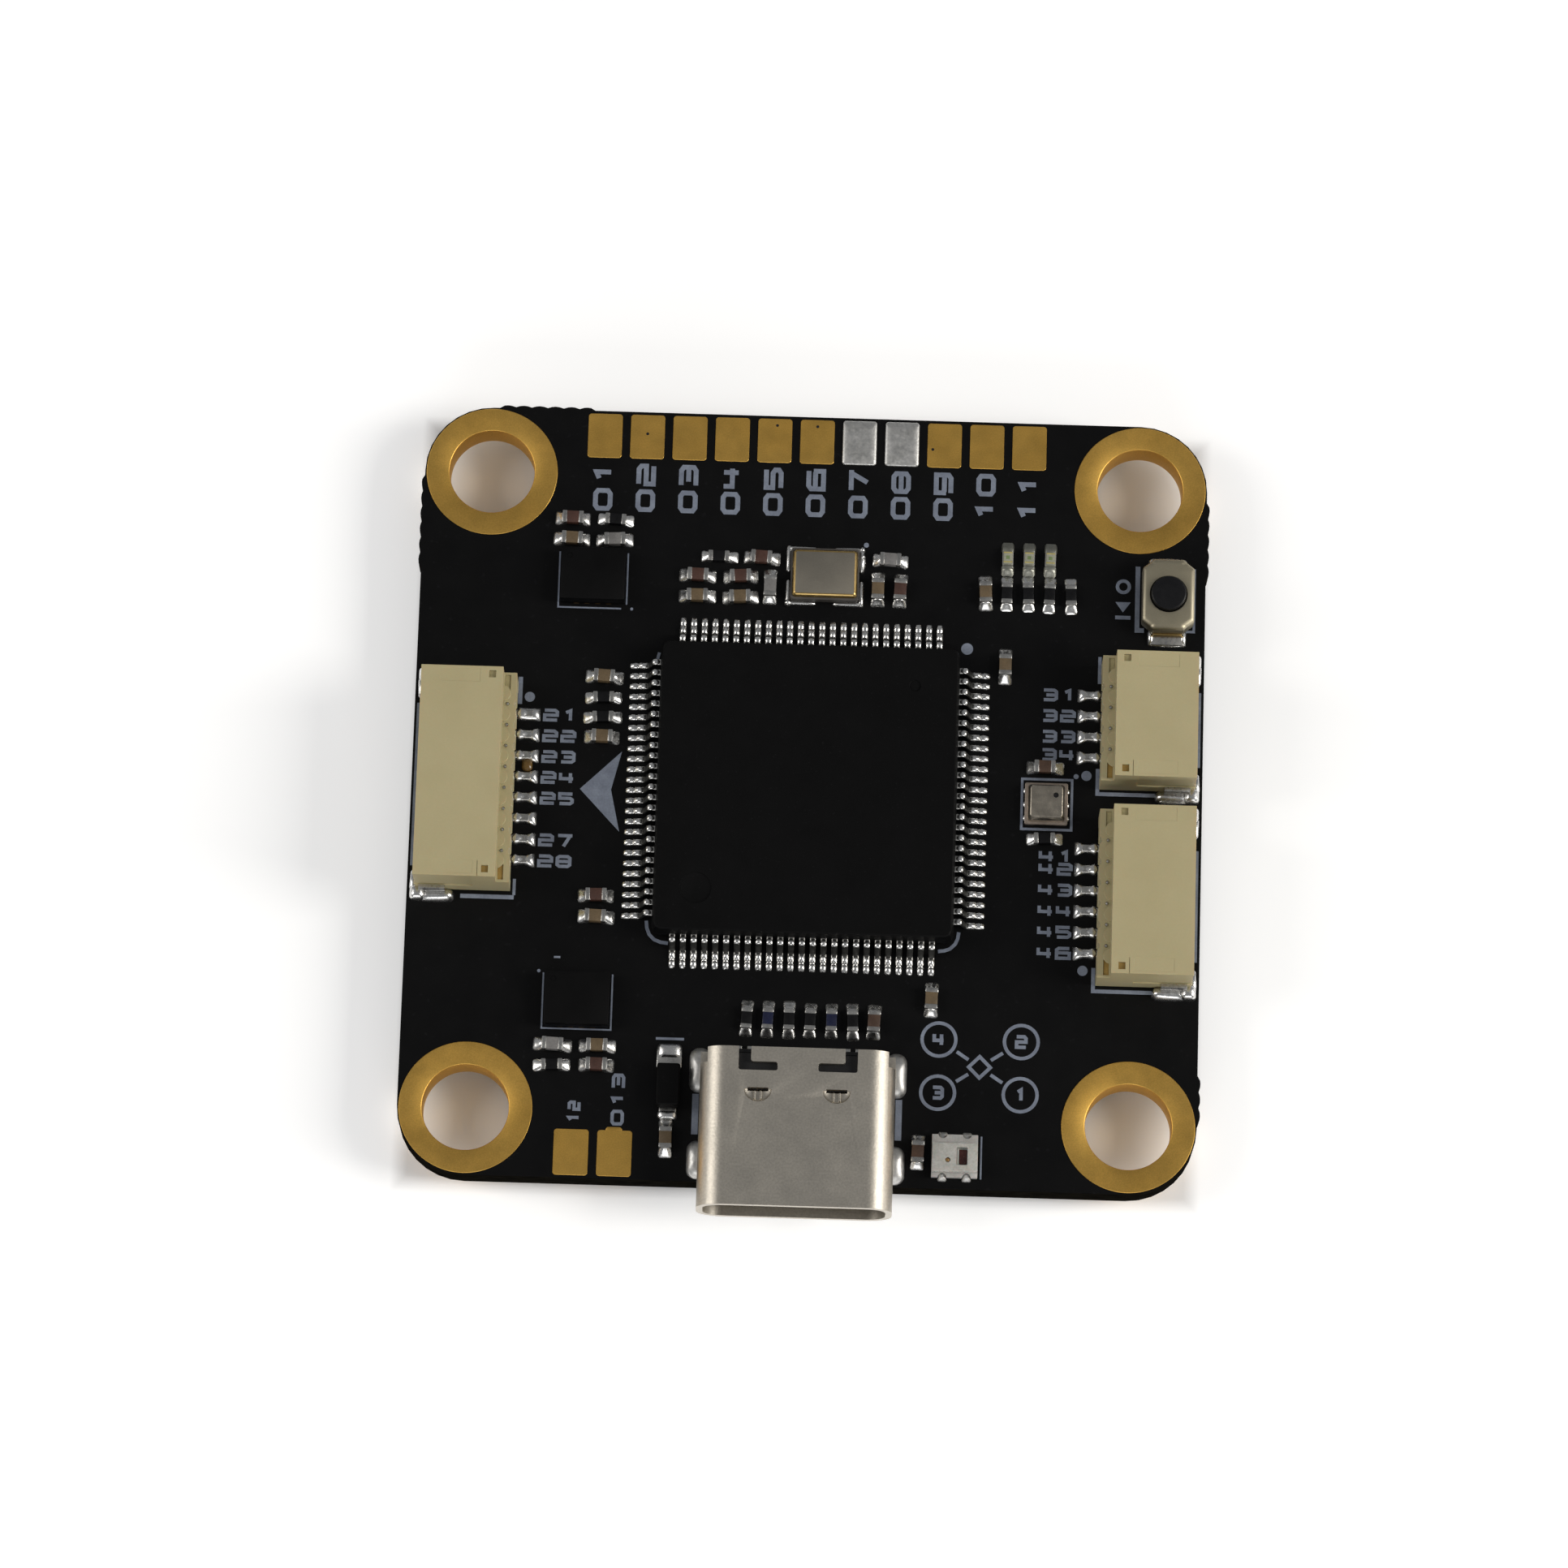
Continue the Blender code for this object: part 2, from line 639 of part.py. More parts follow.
def make_display_chip():
    """The on-screen-display chip, centred on the underside."""
    width, length = DISPLAY_CHIP_SIZE
    exit_height = (MCU_STANDOFF + BOARD_LIFT) / 2
    corner = DISPLAY_CHIP_CORNER
    bm = moulded_chip(width, length, MCU_STANDOFF, BOARD_LIFT, corner, DISPLAY_CHIP_DRAFT)
    body = new_part("display_chip", bm, "epoxy", underside=True)
    groove = (DISPLAY_CHIP_LEADS - 1) * DISPLAY_CHIP_PITCH + DISPLAY_CHIP_LEAD_WIDTH + 2 * GROOVE_END
    edges = (width / 2, width / 2, length / 2, length / 2)
    cut_lead_grooves(body, edges, exit_height, (0.0, 0.0, groove, groove))
    for name, turn in (("front", 0.0), ("rear", 180.0)):
        gull_leads(
            f"display_chip_leads_{name}",
            DISPLAY_CHIP_LEADS,
            DISPLAY_CHIP_PITCH,
            DISPLAY_CHIP_LEAD_WIDTH,
            length / 2,
            exit_height,
            DISPLAY_CHIP_SPAN,
            (0.0, 0.0),
            turn,
            underside=True,
        )


def make_sensors():
    """Two motion sensors, the crystal can and the vented pressure sensor."""
    width, length, height = GYRO_SIZE
    for i, place in enumerate(GYRO_PLACES):
        bm = round_upright_edges(slab(width, length, GAP, height), GYRO_CORNER, 1)
        new_part(f"gyro_{i + 1}", bm, "epoxy", place)
    width, length = CRYSTAL_SIZE
    base = slab(width, length, GAP, CRYSTAL_BASE_HEIGHT)
    base = round_upright_edges(base, CRYSTAL_BASE_CORNER, 2)
    new_part("crystal_base", base, "ceramic", CRYSTAL_PLACE)
    inset = 2 * CRYSTAL_LID_INSET
    lid = slab(width - inset, length - inset, CRYSTAL_BASE_HEIGHT + GAP, CRYSTAL_HEIGHT)
    lid = round_upright_edges(lid, CRYSTAL_LID_CORNER, 3)
    lid = round_top_edges(lid, CRYSTAL_HEIGHT, CRYSTAL_LID_EDGE)
    new_part("crystal_lid", lid, "kovar", CRYSTAL_PLACE)
    size = BAROMETER_SIZE
    base = slab(size, size, GAP, BAROMETER_BASE_HEIGHT)
    new_part("barometer_base", base, "epoxy", BAROMETER_PLACE)
    size -= 2 * BAROMETER_LID_INSET
    lid = slab(size, size, BAROMETER_BASE_HEIGHT + GAP, BAROMETER_HEIGHT)
    lid = round_upright_edges(lid, BAROMETER_LID_CORNER, 3)
    lid = round_top_edges(lid, BAROMETER_HEIGHT, BAROMETER_LID_EDGE)
    part = new_part("barometer_lid", lid, "steel", BAROMETER_PLACE)
    floor = BAROMETER_HEIGHT - VENT_DEPTH
    cut(part, cylinder(VENT_RADIUS, floor, BAROMETER_HEIGHT + BEYOND, VENT_OFFSET, VENT_STEPS))


# ---- Boot button ----------------------------------------------------------------------------


def button_outline(inset):
    """The button's plan: a wide middle with a neck at each end, drawn in by an inset."""
    wide = BUTTON_HALF_WIDTH - inset
    neck = BUTTON_NECK_HALF_WIDTH - inset
    end = BUTTON_HALF_LENGTH - inset
    quarter = [(wide, BUTTON_SHOULDER - inset), (neck, BUTTON_NOTCH - inset), (neck, end)]
    points = quarter + [(-x, y) for x, y in reversed(quarter)]
    return points + [(-x, -y) for x, y in points]


def raised(bm, bottom):
    """Lifts a solid that was drawn from z = 0."""
    bmesh.ops.translate(bm, vec=(0.0, 0.0, bottom), verts=bm.verts)
    return bm


def make_button():
    """Boot button: moulded base, snap dome, plunger, sheet cover and two terminals."""
    ceiling = BUTTON_COVER_TOP - BUTTON_SHEET
    base_height = ceiling - BUTTON_BASE_CLEARANCE - BUTTON_BASE_FOOT
    base = outline_prism([button_outline(BUTTON_BASE_INSET)], base_height)
    base = raised(base, BUTTON_BASE_FOOT)
    part = new_part("button_base", base, "black_plastic", BUTTON_PLACE)
    cut(part, cylinder(BUTTON_WELL_RADIUS, BUTTON_FLOOR, BUTTON_TOP))
    cover = outline_prism([button_outline(0.0)], BUTTON_COVER_TOP - BUTTON_COVER_FOOT)
    cover = round_top_edges(raised(cover, BUTTON_COVER_FOOT), BUTTON_COVER_TOP, BUTTON_ROLL)
    part = new_part("button_cover", cover, "steel", BUTTON_PLACE)
    cut(part, outline_prism([button_outline(BUTTON_SHEET)], ceiling))
    bore = BUTTON_STEM_RADIUS + BUTTON_BORE_CLEARANCE
    cut(part, cylinder(bore, BUTTON_FLOOR, BUTTON_TOP))
    nub = BUTTON_FLOOR + GAP + BUTTON_TRAVEL
    flange_top = ceiling - BUTTON_FLANGE_CLEARANCE
    profile = (
        (0.0, BUTTON_TOP),
        (BUTTON_STEM_RADIUS - BUTTON_STEM_EDGE, BUTTON_TOP),
        (BUTTON_STEM_RADIUS, BUTTON_TOP - BUTTON_STEM_EDGE),
        (BUTTON_STEM_RADIUS, flange_top),
        (BUTTON_FLANGE_RADIUS, flange_top),
        (BUTTON_FLANGE_RADIUS, flange_top - BUTTON_FLANGE),
        (BUTTON_NUB_RADIUS, flange_top - BUTTON_FLANGE),
        (BUTTON_NUB_RADIUS, nub),
        (0.0, nub),
    )
    turned("button_plunger", profile, "black_plastic", BUTTON_PLACE, closed=False)
    floor = BUTTON_FLOOR + GAP
    outer = dome_profile(BUTTON_DOME_RADIUS, BUTTON_DOME_HEIGHT)
    inner = dome_profile(BUTTON_DOME_RADIUS - BUTTON_DOME_SHEET, BUTTON_DOME_HEIGHT - BUTTON_DOME_SHEET)
    profile = [(radius, floor + height) for radius, height in outer + inner[::-1]]
    turned("button_dome", profile, "steel", BUTTON_PLACE, closed=False)
    width, length, height = BUTTON_TERMINAL
    for name, side, reach in BUTTON_TERMINALS:
        ends = sorted((side * (reach - length), side * reach))
        foot = boxes(((-width / 2, ends[0], 2 * GAP), (width / 2, ends[1], height + 2 * GAP)))
        foot = round_upright_edges(foot, BUTTON_TERMINAL_CORNER, 2)
        new_part(f"button_terminal_{name}", foot, "tin", BUTTON_PLACE)


def dome_profile(radius, height):
    """A shallow dome's side, as (radius, height) from its crown to its rim."""
    points = []
    for i in range(DOME_STEPS + 1):
        share = i / DOME_STEPS
        points.append((radius * share, height * (1.0 - share**2)))
    return points


# ---- Sockets --------------------------------------------------------------------------------


def make_wire_socket(name, ways, place, turn):
    """A side-entry socket: hollow housing, row of contacts, and a solder tab at each end."""
    row = (ways - 1) * SOCKET_PITCH
    width = row + SOCKET_END
    side = (
        (0.0, SOCKET_FOOT),
        (SOCKET_DEPTH, SOCKET_FOOT),
        (SOCKET_DEPTH, SOCKET_STEP_HEIGHT),
        (SOCKET_TOP_DEPTH, SOCKET_STEP_HEIGHT),
        (SOCKET_TOP_DEPTH, SOCKET_HEIGHT),
        (0.0, SOCKET_HEIGHT),
    )
    housing = new_part(f"{name}_housing", side_prism(side, width), "cream_plastic", place, turn)
    mouth = (row + SOCKET_CAVITY_END) / 2
    back = SOCKET_CAVITY_DEPTH
    cavity = ((-mouth, -BEYOND, SOCKET_CAVITY_FLOOR), (mouth, back, SOCKET_CAVITY_TOP))
    cut(housing, boxes(cavity))
    slot = row / 2 + SOCKET_RECESS_MARGIN
    start = SOCKET_RECESS_START
    cut(housing, boxes(((-slot, start, -BEYOND), (slot, SOCKET_DEPTH + BEYOND, SOCKET_RECESS_TOP))))
    low, high = SOCKET_CONTACT_OPENING
    cut(housing, boxes(((-slot, start, low), (slot, back - GAP, high))))
    keys = bmesh.new()
    for key in (-1, 1):
        edge = mouth - SOCKET_KEY_INSET
        inner, outer = sorted((key * edge, key * (edge - SOCKET_KEY_WIDTH)))
        add_box(keys, (inner, -BEYOND, SOCKET_CAVITY_FLOOR), (outer, SOCKET_KEY_END, SOCKET_KEY_TOP))
    cut(housing, keys)
    bent_comb(
        f"{name}_contacts",
        SOCKET_CONTACT_PATH,
        SOCKET_CONTACT_SHEET,
        ways,
        SOCKET_PITCH,
        SOCKET_CONTACT_WIDTH,
        SOCKET_BAR,
        place,
        turn,
    )
    for end, label in ((-1, "a"), (1, "b")):
        near = width / 2 + GAP
        path = (
            (near + SOCKET_TAB_SHEET / 2, SOCKET_TAB_HEIGHT),
            (near + SOCKET_TAB_SHEET / 2, 2 * GAP + SOCKET_TAB_SHEET / 2),
            (near + SOCKET_TAB_REACH, 2 * GAP + SOCKET_TAB_SHEET / 2),
        )
        outline = [(end * x, z) for x, z in strip_outline(path, SOCKET_TAB_SHEET)]
        new_part(f"{name}_tab_{label}", front_prism([outline], *SOCKET_TAB_DEPTH), "tin", place, turn)


def flat_comb(name, span, bar, bottom, sheet, place):
    """A flat row of USB contacts with a bar across one end, as one outline."""
    row = (USB_CONTACTS - 1) * USB_PITCH
    half = USB_CONTACT_WIDTH / 2
    start, end = span
    tip, root, edge = (end, start + bar, start) if bar > 0 else (start, end + bar, end)
    points = [(row / 2 + half, edge), (-row / 2 - half, edge)]
    for i in range(USB_CONTACTS):
        left = -row / 2 + i * USB_PITCH - half
        right = left + USB_CONTACT_WIDTH
        if i > 0:
            points.append((left, root))
        points += [(left, tip), (right, tip)]
        if i < USB_CONTACTS - 1:
            points.append((right, root))
    comb = raised(outline_prism([points], sheet), bottom)
    return new_part(name, comb, "gold" if bar < 0 else "tin", place)


def make_usb():
    """USB socket: rolled shell on four legs, insulator with its tongue, and three contact rows."""
    place = (0.0, USB_FRONT)
    middle = USB_MIDDLE
    outer = rounded_rectangle((0.0, middle), USB_WIDTH, USB_HEIGHT, USB_CORNER)
    bore_width = USB_WIDTH - 2 * USB_SHEET
    bore_height = USB_HEIGHT - 2 * USB_SHEET
    bore_corner = USB_CORNER - USB_SHEET
    inner = rounded_rectangle((0.0, middle), bore_width, bore_height, bore_corner)
    shell = new_part("usb_shell", front_prism([outer, inner], 0.0, USB_DEPTH), "steel", place)
    legs = bmesh.new()
    for side in (-1, 1):
        for y, width in USB_LEGS:
            centre = side * (USB_WIDTH / 2 - USB_SHEET / 2)
            reach = USB_LEG_THICKNESS / 2
            low = (centre - reach, y - width / 2, -USB_LEG_DEPTH)
            add_box(legs, low, (centre + reach, y + width / 2, middle))
    cut(shell, legs, "UNION")
    for side in (-1, 1):
        slot = outline_prism([[(side * x, y) for x, y in USB_FLAP_SLOT]], BEYOND)
        cut(shell, raised(slot, USB_HEIGHT - USB_FLAP_DEPTH))
        inner, outer = sorted((side * USB_CORNER_NOTCH[0], side * (USB_WIDTH / 2 + BEYOND)))
        low = (inner, USB_CORNER_NOTCH[1], USB_MIDDLE)
        cut(shell, boxes((low, (outer, USB_DEPTH + BEYOND, USB_HEIGHT + BEYOND))))
    width, depth, height = USB_REAR_OPENING
    low = (-width / 2, USB_DEPTH - depth, -BEYOND)
    cut(shell, boxes((low, (width / 2, USB_DEPTH + BEYOND, height))))
    slack = 2 * GAP
    block = rounded_rectangle(
        (0.0, middle), bore_width - 2 * slack, bore_height - 2 * slack, bore_corner - slack
    )
    insulator = new_part(
        "usb_insulator", front_prism([block], *USB_INSULATOR), "black_plastic", place
    )
    half_width = USB_TONGUE_WIDTH / 2
    half_height = USB_TONGUE_HEIGHT / 2
    tongue = boxes(
        (
            (-half_width, USB_TONGUE_START, middle - half_height),
            (half_width, USB_INSULATOR[0] + USB_TONGUE_ROOT, middle + half_height),
        )
    )
    cut(insulator, tongue, "UNION")
    top = middle + half_height + GAP
    bottom = middle - half_height - GAP - USB_CONTACT_SHEET
    flat_comb("usb_contacts_upper", USB_CONTACT_SPAN, -USB_BAR, top, USB_CONTACT_SHEET, place)
    flat_comb("usb_contacts_lower", USB_CONTACT_SPAN, -USB_BAR, bottom, USB_CONTACT_SHEET, place)
    flat_comb("usb_solder_tails", USB_TAIL_SPAN, USB_BAR, 2 * GAP, USB_TAIL_SHEET, place)


# ---- Lamps, diode and underside parts -------------------------------------------------------


def make_lamps():
    """The colour lamp with its window, and three small status lamps."""
    width, length, height = RGB_SIZE
    body = round_upright_edges(slab(width, length, GAP, height), RGB_CORNER, 2)
    part = new_part("rgb_lamp_body", body, "white_plastic", RGB_PLACE)
    low, high = RGB_WINDOW
    floor = height - RGB_WINDOW_DEPTH
    cut(part, boxes(((*low, floor), (*high, height + BEYOND))))
    lens = boxes(
        (
            (low[0] + GAP, low[1] + GAP, floor + GAP),
            (high[0] - GAP, high[1] - GAP, height - RGB_LENS_SINK),
        )
    )
    new_part("rgb_lamp_lens", lens, "resin", RGB_PLACE)
    width, length, height = STATUS_LAMP_SIZE
    lens_width, lens_length, lens_height = STATUS_LENS
    for i, place in enumerate(STATUS_LAMP_PLACES):
        bm = slab(width, length, GAP, height)
        part = new_part(f"status_lamp_{i + 1}", bm, "white_plastic", place)
        lens = slab(lens_width, lens_length, lens_height - STATUS_LENS_DEPTH, lens_height)
        cut(part, round_top_edges(lens, lens_height, STATUS_LENS_EDGE), "UNION")


def make_diode():
    """The protection diode and its two flat terminals."""
    width, length, height = DIODE_SIZE
    standoff = DIODE_TERMINAL_SHEET + 3 * GAP
    bm = moulded_chip(width, length, standoff, height, DIODE_CORNER, DIODE_CORNER)
    new_part("diode_body", bm, "epoxy", DIODE_PLACE)
    for name, side, terminal_width, reach in DIODE_TERMINALS:
        inner = side * (length / 2 - DIODE_TERMINAL_SEAT)
        outer = side * (length / 2 + reach)
        low = (-terminal_width / 2, min(inner, outer), 2 * GAP)
        high = (terminal_width / 2, max(inner, outer), 2 * GAP + DIODE_TERMINAL_SHEET)
        foot = round_upright_edges(boxes((low, high)), DIODE_CORNER, 1)
        new_part(name, foot, "tin", DIODE_PLACE)


def make_underside():
    """Memory, inductors, capacitors and regulators under the board."""
    kinds = {"memory": "epoxy", "power": "ferrite", "bulk": "capacitor_ceramic"}
    for name, (width, length, height), place in UNDERSIDE_BLOCKS:
        kind = kinds[name.split("_")[0]]
        corner = INDUCTOR_CORNER if kind == "ferrite" else BLOCK_CORNER
        bm = round_upright_edges(slab(width, length, GAP, height), corner, 2)
        new_part(name, bm, kind, place, underside=True)
    width, length = REGULATOR_SIZE
    for name, place in UNDERSIDE_REGULATORS:
        bm = moulded_chip(
            width, length, REGULATOR_STANDOFF, REGULATOR_HEIGHT, REGULATOR_CORNER, REGULATOR_DRAFT
        )
        new_part(name, bm, "epoxy", place, underside=True)


clear_scene()
PARTS = new_collection("flight_controller_board")
TOOLS = new_collection("cutters")
make_board()
make_mcu()
make_display_chip()
make_sensors()
make_button()
for socket in SOCKETS:
    make_wire_socket(*socket)
make_usb()
make_lamps()
make_diode()
make_underside()
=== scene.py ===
"""Looks of the flight controller board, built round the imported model.

Shapes are drawn in millimetres from the centre of the hole pattern, with z = 0 on the board's top
face, and are then moved into the frame's metres. Parts of the underside are drawn as they are seen
from below, with z = 0 on the board's lower face.
"""

import math
import random

import bmesh
import bpy
from mathutils import Matrix, Vector


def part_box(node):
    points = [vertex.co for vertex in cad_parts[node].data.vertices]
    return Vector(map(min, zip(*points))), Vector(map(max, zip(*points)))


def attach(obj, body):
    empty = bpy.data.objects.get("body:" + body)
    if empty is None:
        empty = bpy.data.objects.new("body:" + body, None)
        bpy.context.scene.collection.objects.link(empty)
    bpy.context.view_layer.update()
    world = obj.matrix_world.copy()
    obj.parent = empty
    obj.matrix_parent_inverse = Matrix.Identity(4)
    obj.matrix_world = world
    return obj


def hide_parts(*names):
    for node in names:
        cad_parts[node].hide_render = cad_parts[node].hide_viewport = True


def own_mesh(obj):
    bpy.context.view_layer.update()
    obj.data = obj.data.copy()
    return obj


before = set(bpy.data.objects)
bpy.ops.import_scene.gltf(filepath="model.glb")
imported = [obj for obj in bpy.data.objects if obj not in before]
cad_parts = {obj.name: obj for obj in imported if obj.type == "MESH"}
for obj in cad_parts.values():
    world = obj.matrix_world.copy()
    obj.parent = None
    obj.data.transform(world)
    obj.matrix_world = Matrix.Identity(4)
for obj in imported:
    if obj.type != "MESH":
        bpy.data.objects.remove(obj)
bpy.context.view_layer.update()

MM = 0.001
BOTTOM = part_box("circuit_board")[0].z / MM
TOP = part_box("circuit_board")[1].z / MM
CHANCE = random.Random(7)
WELD = 1e-5  # millimetres: points of a drawn shape this close are one point
NODE_WELD = 1e-4  # the same for a CAD node's shape
SOLDER_SHARP = 80.0  # degrees: solder is shaded smooth up to this angle

# ---- Mesh tools -----------------------------------------------------------------------------


def node_box(node):
    """A CAD node's lowest and highest corner, in the drawing's millimetres."""
    low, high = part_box(node)
    lift = Vector((0.0, 0.0, TOP))
    return low / MM - lift, high / MM - lift


def placed(bm, x=0.0, y=0.0, turn=0.0, z=0.0):
    """Turns a shape about Z by degrees and moves it."""
    matrix = Matrix.Translation((x, y, z)) @ Matrix.Rotation(math.radians(turn), 4, "Z")
    bmesh.ops.transform(bm, matrix=matrix, verts=bm.verts)
    return bm


def tinted(bm, index):
    """Gives every face of a shape the same material index."""
    for face in bm.faces:
        face.material_index = index
    return bm


def joined(shapes):
    """One shape from several."""
    whole = bmesh.new()
    for bm in shapes:
        mesh = bpy.data.meshes.new("joining")
        bm.to_mesh(mesh)
        bm.free()
        whole.from_mesh(mesh)
        bpy.data.meshes.remove(mesh)
    return whole


def bevelled(bm, width, segments=2, angle=30.0):
    """Rounds every edge sharper than an angle."""
    bmesh.ops.dissolve_limit(bm, angle_limit=math.radians(0.5), verts=bm.verts, edges=bm.edges)
    sharp = [e for e in bm.edges if e.is_manifold and e.calc_face_angle(0.0) > math.radians(angle)]
    bmesh.ops.bevel(
        bm, geom=sharp, offset=width, segments=segments, affect="EDGES", profile=0.5, clamp_overlap=True
    )
    return bm


def block(low, high, edge=0.03, segments=1):
    """A box between two corners, with its edges eased."""
    low = Vector(low)
    high = Vector(high)
    bm = bmesh.new()
    scale = Matrix.Diagonal((*(high - low), 1.0))
    bmesh.ops.create_cube(bm, size=1.0, matrix=Matrix.Translation((low + high) / 2) @ scale)
    return bevelled(bm, edge, segments) if edge else bm


def centred(width, length, bottom, top, edge=0.03, segments=1):
    """A box centred on the Z axis."""
    return block((-width / 2, -length / 2, bottom), (width / 2, length / 2, top), edge, segments)


def slab(side, across, along, height, edge=0.0, segments=1):
    """A box on the +X or the -X side, from its ranges across, along and in height."""
    near, far = sorted((side * across[0], side * across[1]))
    return block((near, along[0], height[0]), (far, along[1], height[1]), edge, segments)


def spread(count, pitch):
    """Places along a row that is centred on zero."""
    return [(i - (count - 1) / 2) * pitch for i in range(count)]


def arc(centre, radius, start, end, steps):
    """Points on an arc, from one angle to another in degrees, both ends included."""
    points = []
    for i in range(steps + 1):
        angle = math.radians(start + (end - start) * i / steps)
        points.append((centre[0] + radius * math.cos(angle), centre[1] + radius * math.sin(angle)))
    return points


def circle(x, y, radius, steps=24):
    """Points around a circle."""
    return arc((x, y), radius, 0.0, 360.0, steps)[:-1]


def rounded(x, y, width, height, radius, steps=5):
    """Points around a rectangle with round corners, anticlockwise."""
    points = []
    for quarter, (side, rise) in enumerate(((1, 1), (-1, 1), (-1, -1), (1, -1))):
        centre = (x + side * (width / 2 - radius), y + rise * (height / 2 - radius))
        points += arc(centre, radius, 90.0 * quarter, 90.0 * quarter + 90.0, steps)
    return points


def prism(loops, bottom, top):
    """A solid between two heights from a flat outline, whose inner loops are holes."""
    curve = bpy.data.curves.new("outline", "CURVE")
    curve.dimensions = "2D"
    curve.fill_mode = "BOTH"
    curve.extrude = (top - bottom) / 2
    for loop in loops:
        spline = curve.splines.new("POLY")
        spline.points.add(len(loop) - 1)
        for point, (x, y) in zip(spline.points, loop):
            point.co = (x, y, 0.0, 1.0)
        spline.use_cyclic_u = True
    return placed(from_curve(curve), z=(bottom + top) / 2)


def from_curve(curve):
    """A shape from a filled curve or a text, which is removed."""
    guide = bpy.data.objects.new("guide", curve)
    bpy.context.scene.collection.objects.link(guide)
    graph = bpy.context.evaluated_depsgraph_get()
    mesh = bpy.data.meshes.new_from_object(guide.evaluated_get(graph))
    bm = bmesh.new()
    bm.from_mesh(mesh)
    bpy.data.objects.remove(guide)
    bpy.data.curves.remove(curve)
    bpy.data.meshes.remove(mesh)
    bmesh.ops.remove_doubles(bm, verts=bm.verts, dist=WELD)
    bmesh.ops.recalc_face_normals(bm, faces=bm.faces)
    return tinted(bm, 0)


def loft(rings):
    """A closed body through rings of points, with flat ends."""
    bm = bmesh.new()
    rows = [[bm.verts.new(point) for point in ring] for ring in rings]
    for near, far in zip(rows, rows[1:]):
        for i in range(len(near)):
            j = (i + 1) % len(near)
            bm.faces.new((near[i], near[j], far[j], far[i]))
    bm.faces.new(rows[0][::-1])
    bm.faces.new(rows[-1])
    bmesh.ops.recalc_face_normals(bm, faces=bm.faces)
    return bm


def lathe(profile, closed=False, steps=48):
    """A body turned about Z from a profile of (radius, height)."""
    bm = bmesh.new()
    rows = []
    for radius, height in profile:
        rows.append([bm.verts.new((x, y, height)) for x, y in circle(0.0, 0.0, radius, steps)])
    pairs = list(zip(rows, rows[1:]))
    if closed:
        pairs.append((rows[-1], rows[0]))
    else:
        bm.faces.new(rows[0][::-1])
        bm.faces.new(rows[-1])
    for near, far in pairs:
        for i in range(steps):
            j = (i + 1) % steps
            bm.faces.new((near[i], near[j], far[j], far[i]))
    bmesh.ops.recalc_face_normals(bm, faces=bm.faces)
    return bm


def stacked(levels, outline):
    """A closed body through flat outlines; a level is its height, then what outline() takes."""
    return loft([[(x, y, z) for x, y in outline(*rest)] for z, *rest in levels])


def mound(outline, steps):
    """A heap on an outline: each step is (share of the outline's size, height)."""
    cx = sum(x for x, y in outline) / len(outline)
    cy = sum(y for x, y in outline) / len(outline)
    return loft([[(cx + (x - cx) * s, cy + (y - cy) * s, z) for x, y in outline] for s, z in steps])


def bead(sections, steps=8):
    """A run of solder along Y through arches of (y, half width, height), standing on z = 0."""
    rings = []
    for y, half, height in sections:
        ring = []
        for i in range(steps + 1):
            angle = math.pi * i / steps
            ring.append((half * math.cos(angle), y, height * math.sin(angle)))
        rings.append(ring)
    return loft(rings)


def strip(path, thickness, width):
    """Sheet metal of a width along X, bent along a path in the YZ plane."""
    points = [Vector(point) for point in path]
    runs = [(b - a).normalized() for a, b in zip(points, points[1:])]
    sides = []
    for i in range(len(points)):
        before = runs[max(i - 1, 0)]
        after = runs[min(i, len(runs) - 1)]
        mitre = (before + after).normalized()
        sides.append(Vector((-mitre.y, mitre.x)) * (thickness / 2 / mitre.dot(after)))
    upper = [point + side for point, side in zip(points, sides)]
    lower = [point - side for point, side in zip(points, sides)]
    outline = upper + lower[::-1]
    return loft([[(x, p.x, p.y) for p in outline] for x in (-width / 2, width / 2)])


def eased(path, radius, steps=4):
    """A path with its inner corners rounded."""
    points = [Vector(point) for point in path]
    result = [points[0]]
    for before, here, after in zip(points, points[1:], points[2:]):
        start = here + (before - here).normalized() * radius
        end = here + (after - here).normalized() * radius
        for i in range(steps + 1):
            t = i / steps
            result.append(start * (1 - t) ** 2 + here * 2 * t * (1 - t) + end * t**2)
    return result + [points[-1]]


def carved(bm, *tools, operation="DIFFERENCE"):
    """A shape with others cut from it or added to it."""
    items = []
    for shape in (bm, *tools):
        mesh = bpy.data.meshes.new("carving")
        shape.to_mesh(mesh)
        shape.free()
        items.append(bpy.data.objects.new("carving", mesh))
        bpy.context.scene.collection.objects.link(items[-1])
    for tool in items[1:]:
        modifier = items[0].modifiers.new("carve", "BOOLEAN")
        modifier.operation = operation
        modifier.solver = "EXACT"
        modifier.object = tool
    graph = bpy.context.evaluated_depsgraph_get()
    mesh = bpy.data.meshes.new_from_object(items[0].evaluated_get(graph))
    result = bmesh.new()
    result.from_mesh(mesh)
    for item in items:
        bpy.data.meshes.remove(item.data)
    bpy.data.meshes.remove(mesh)
    bmesh.ops.remove_doubles(result, verts=result.verts, dist=WELD)
    return result


def from_node(node):
    """A CAD node's shape, drawn again in millimetres without its triangles."""
    bm = bmesh.new()
    bm.from_mesh(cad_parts[node].data)
    matrix = Matrix.Translation((0.0, 0.0, -TOP)) @ Matrix.Scale(1 / MM, 4)
    bmesh.ops.transform(bm, matrix=matrix, verts=bm.verts)
    bmesh.ops.remove_doubles(bm, verts=bm.verts, dist=NODE_WELD)
    return tinted(bm, 0)


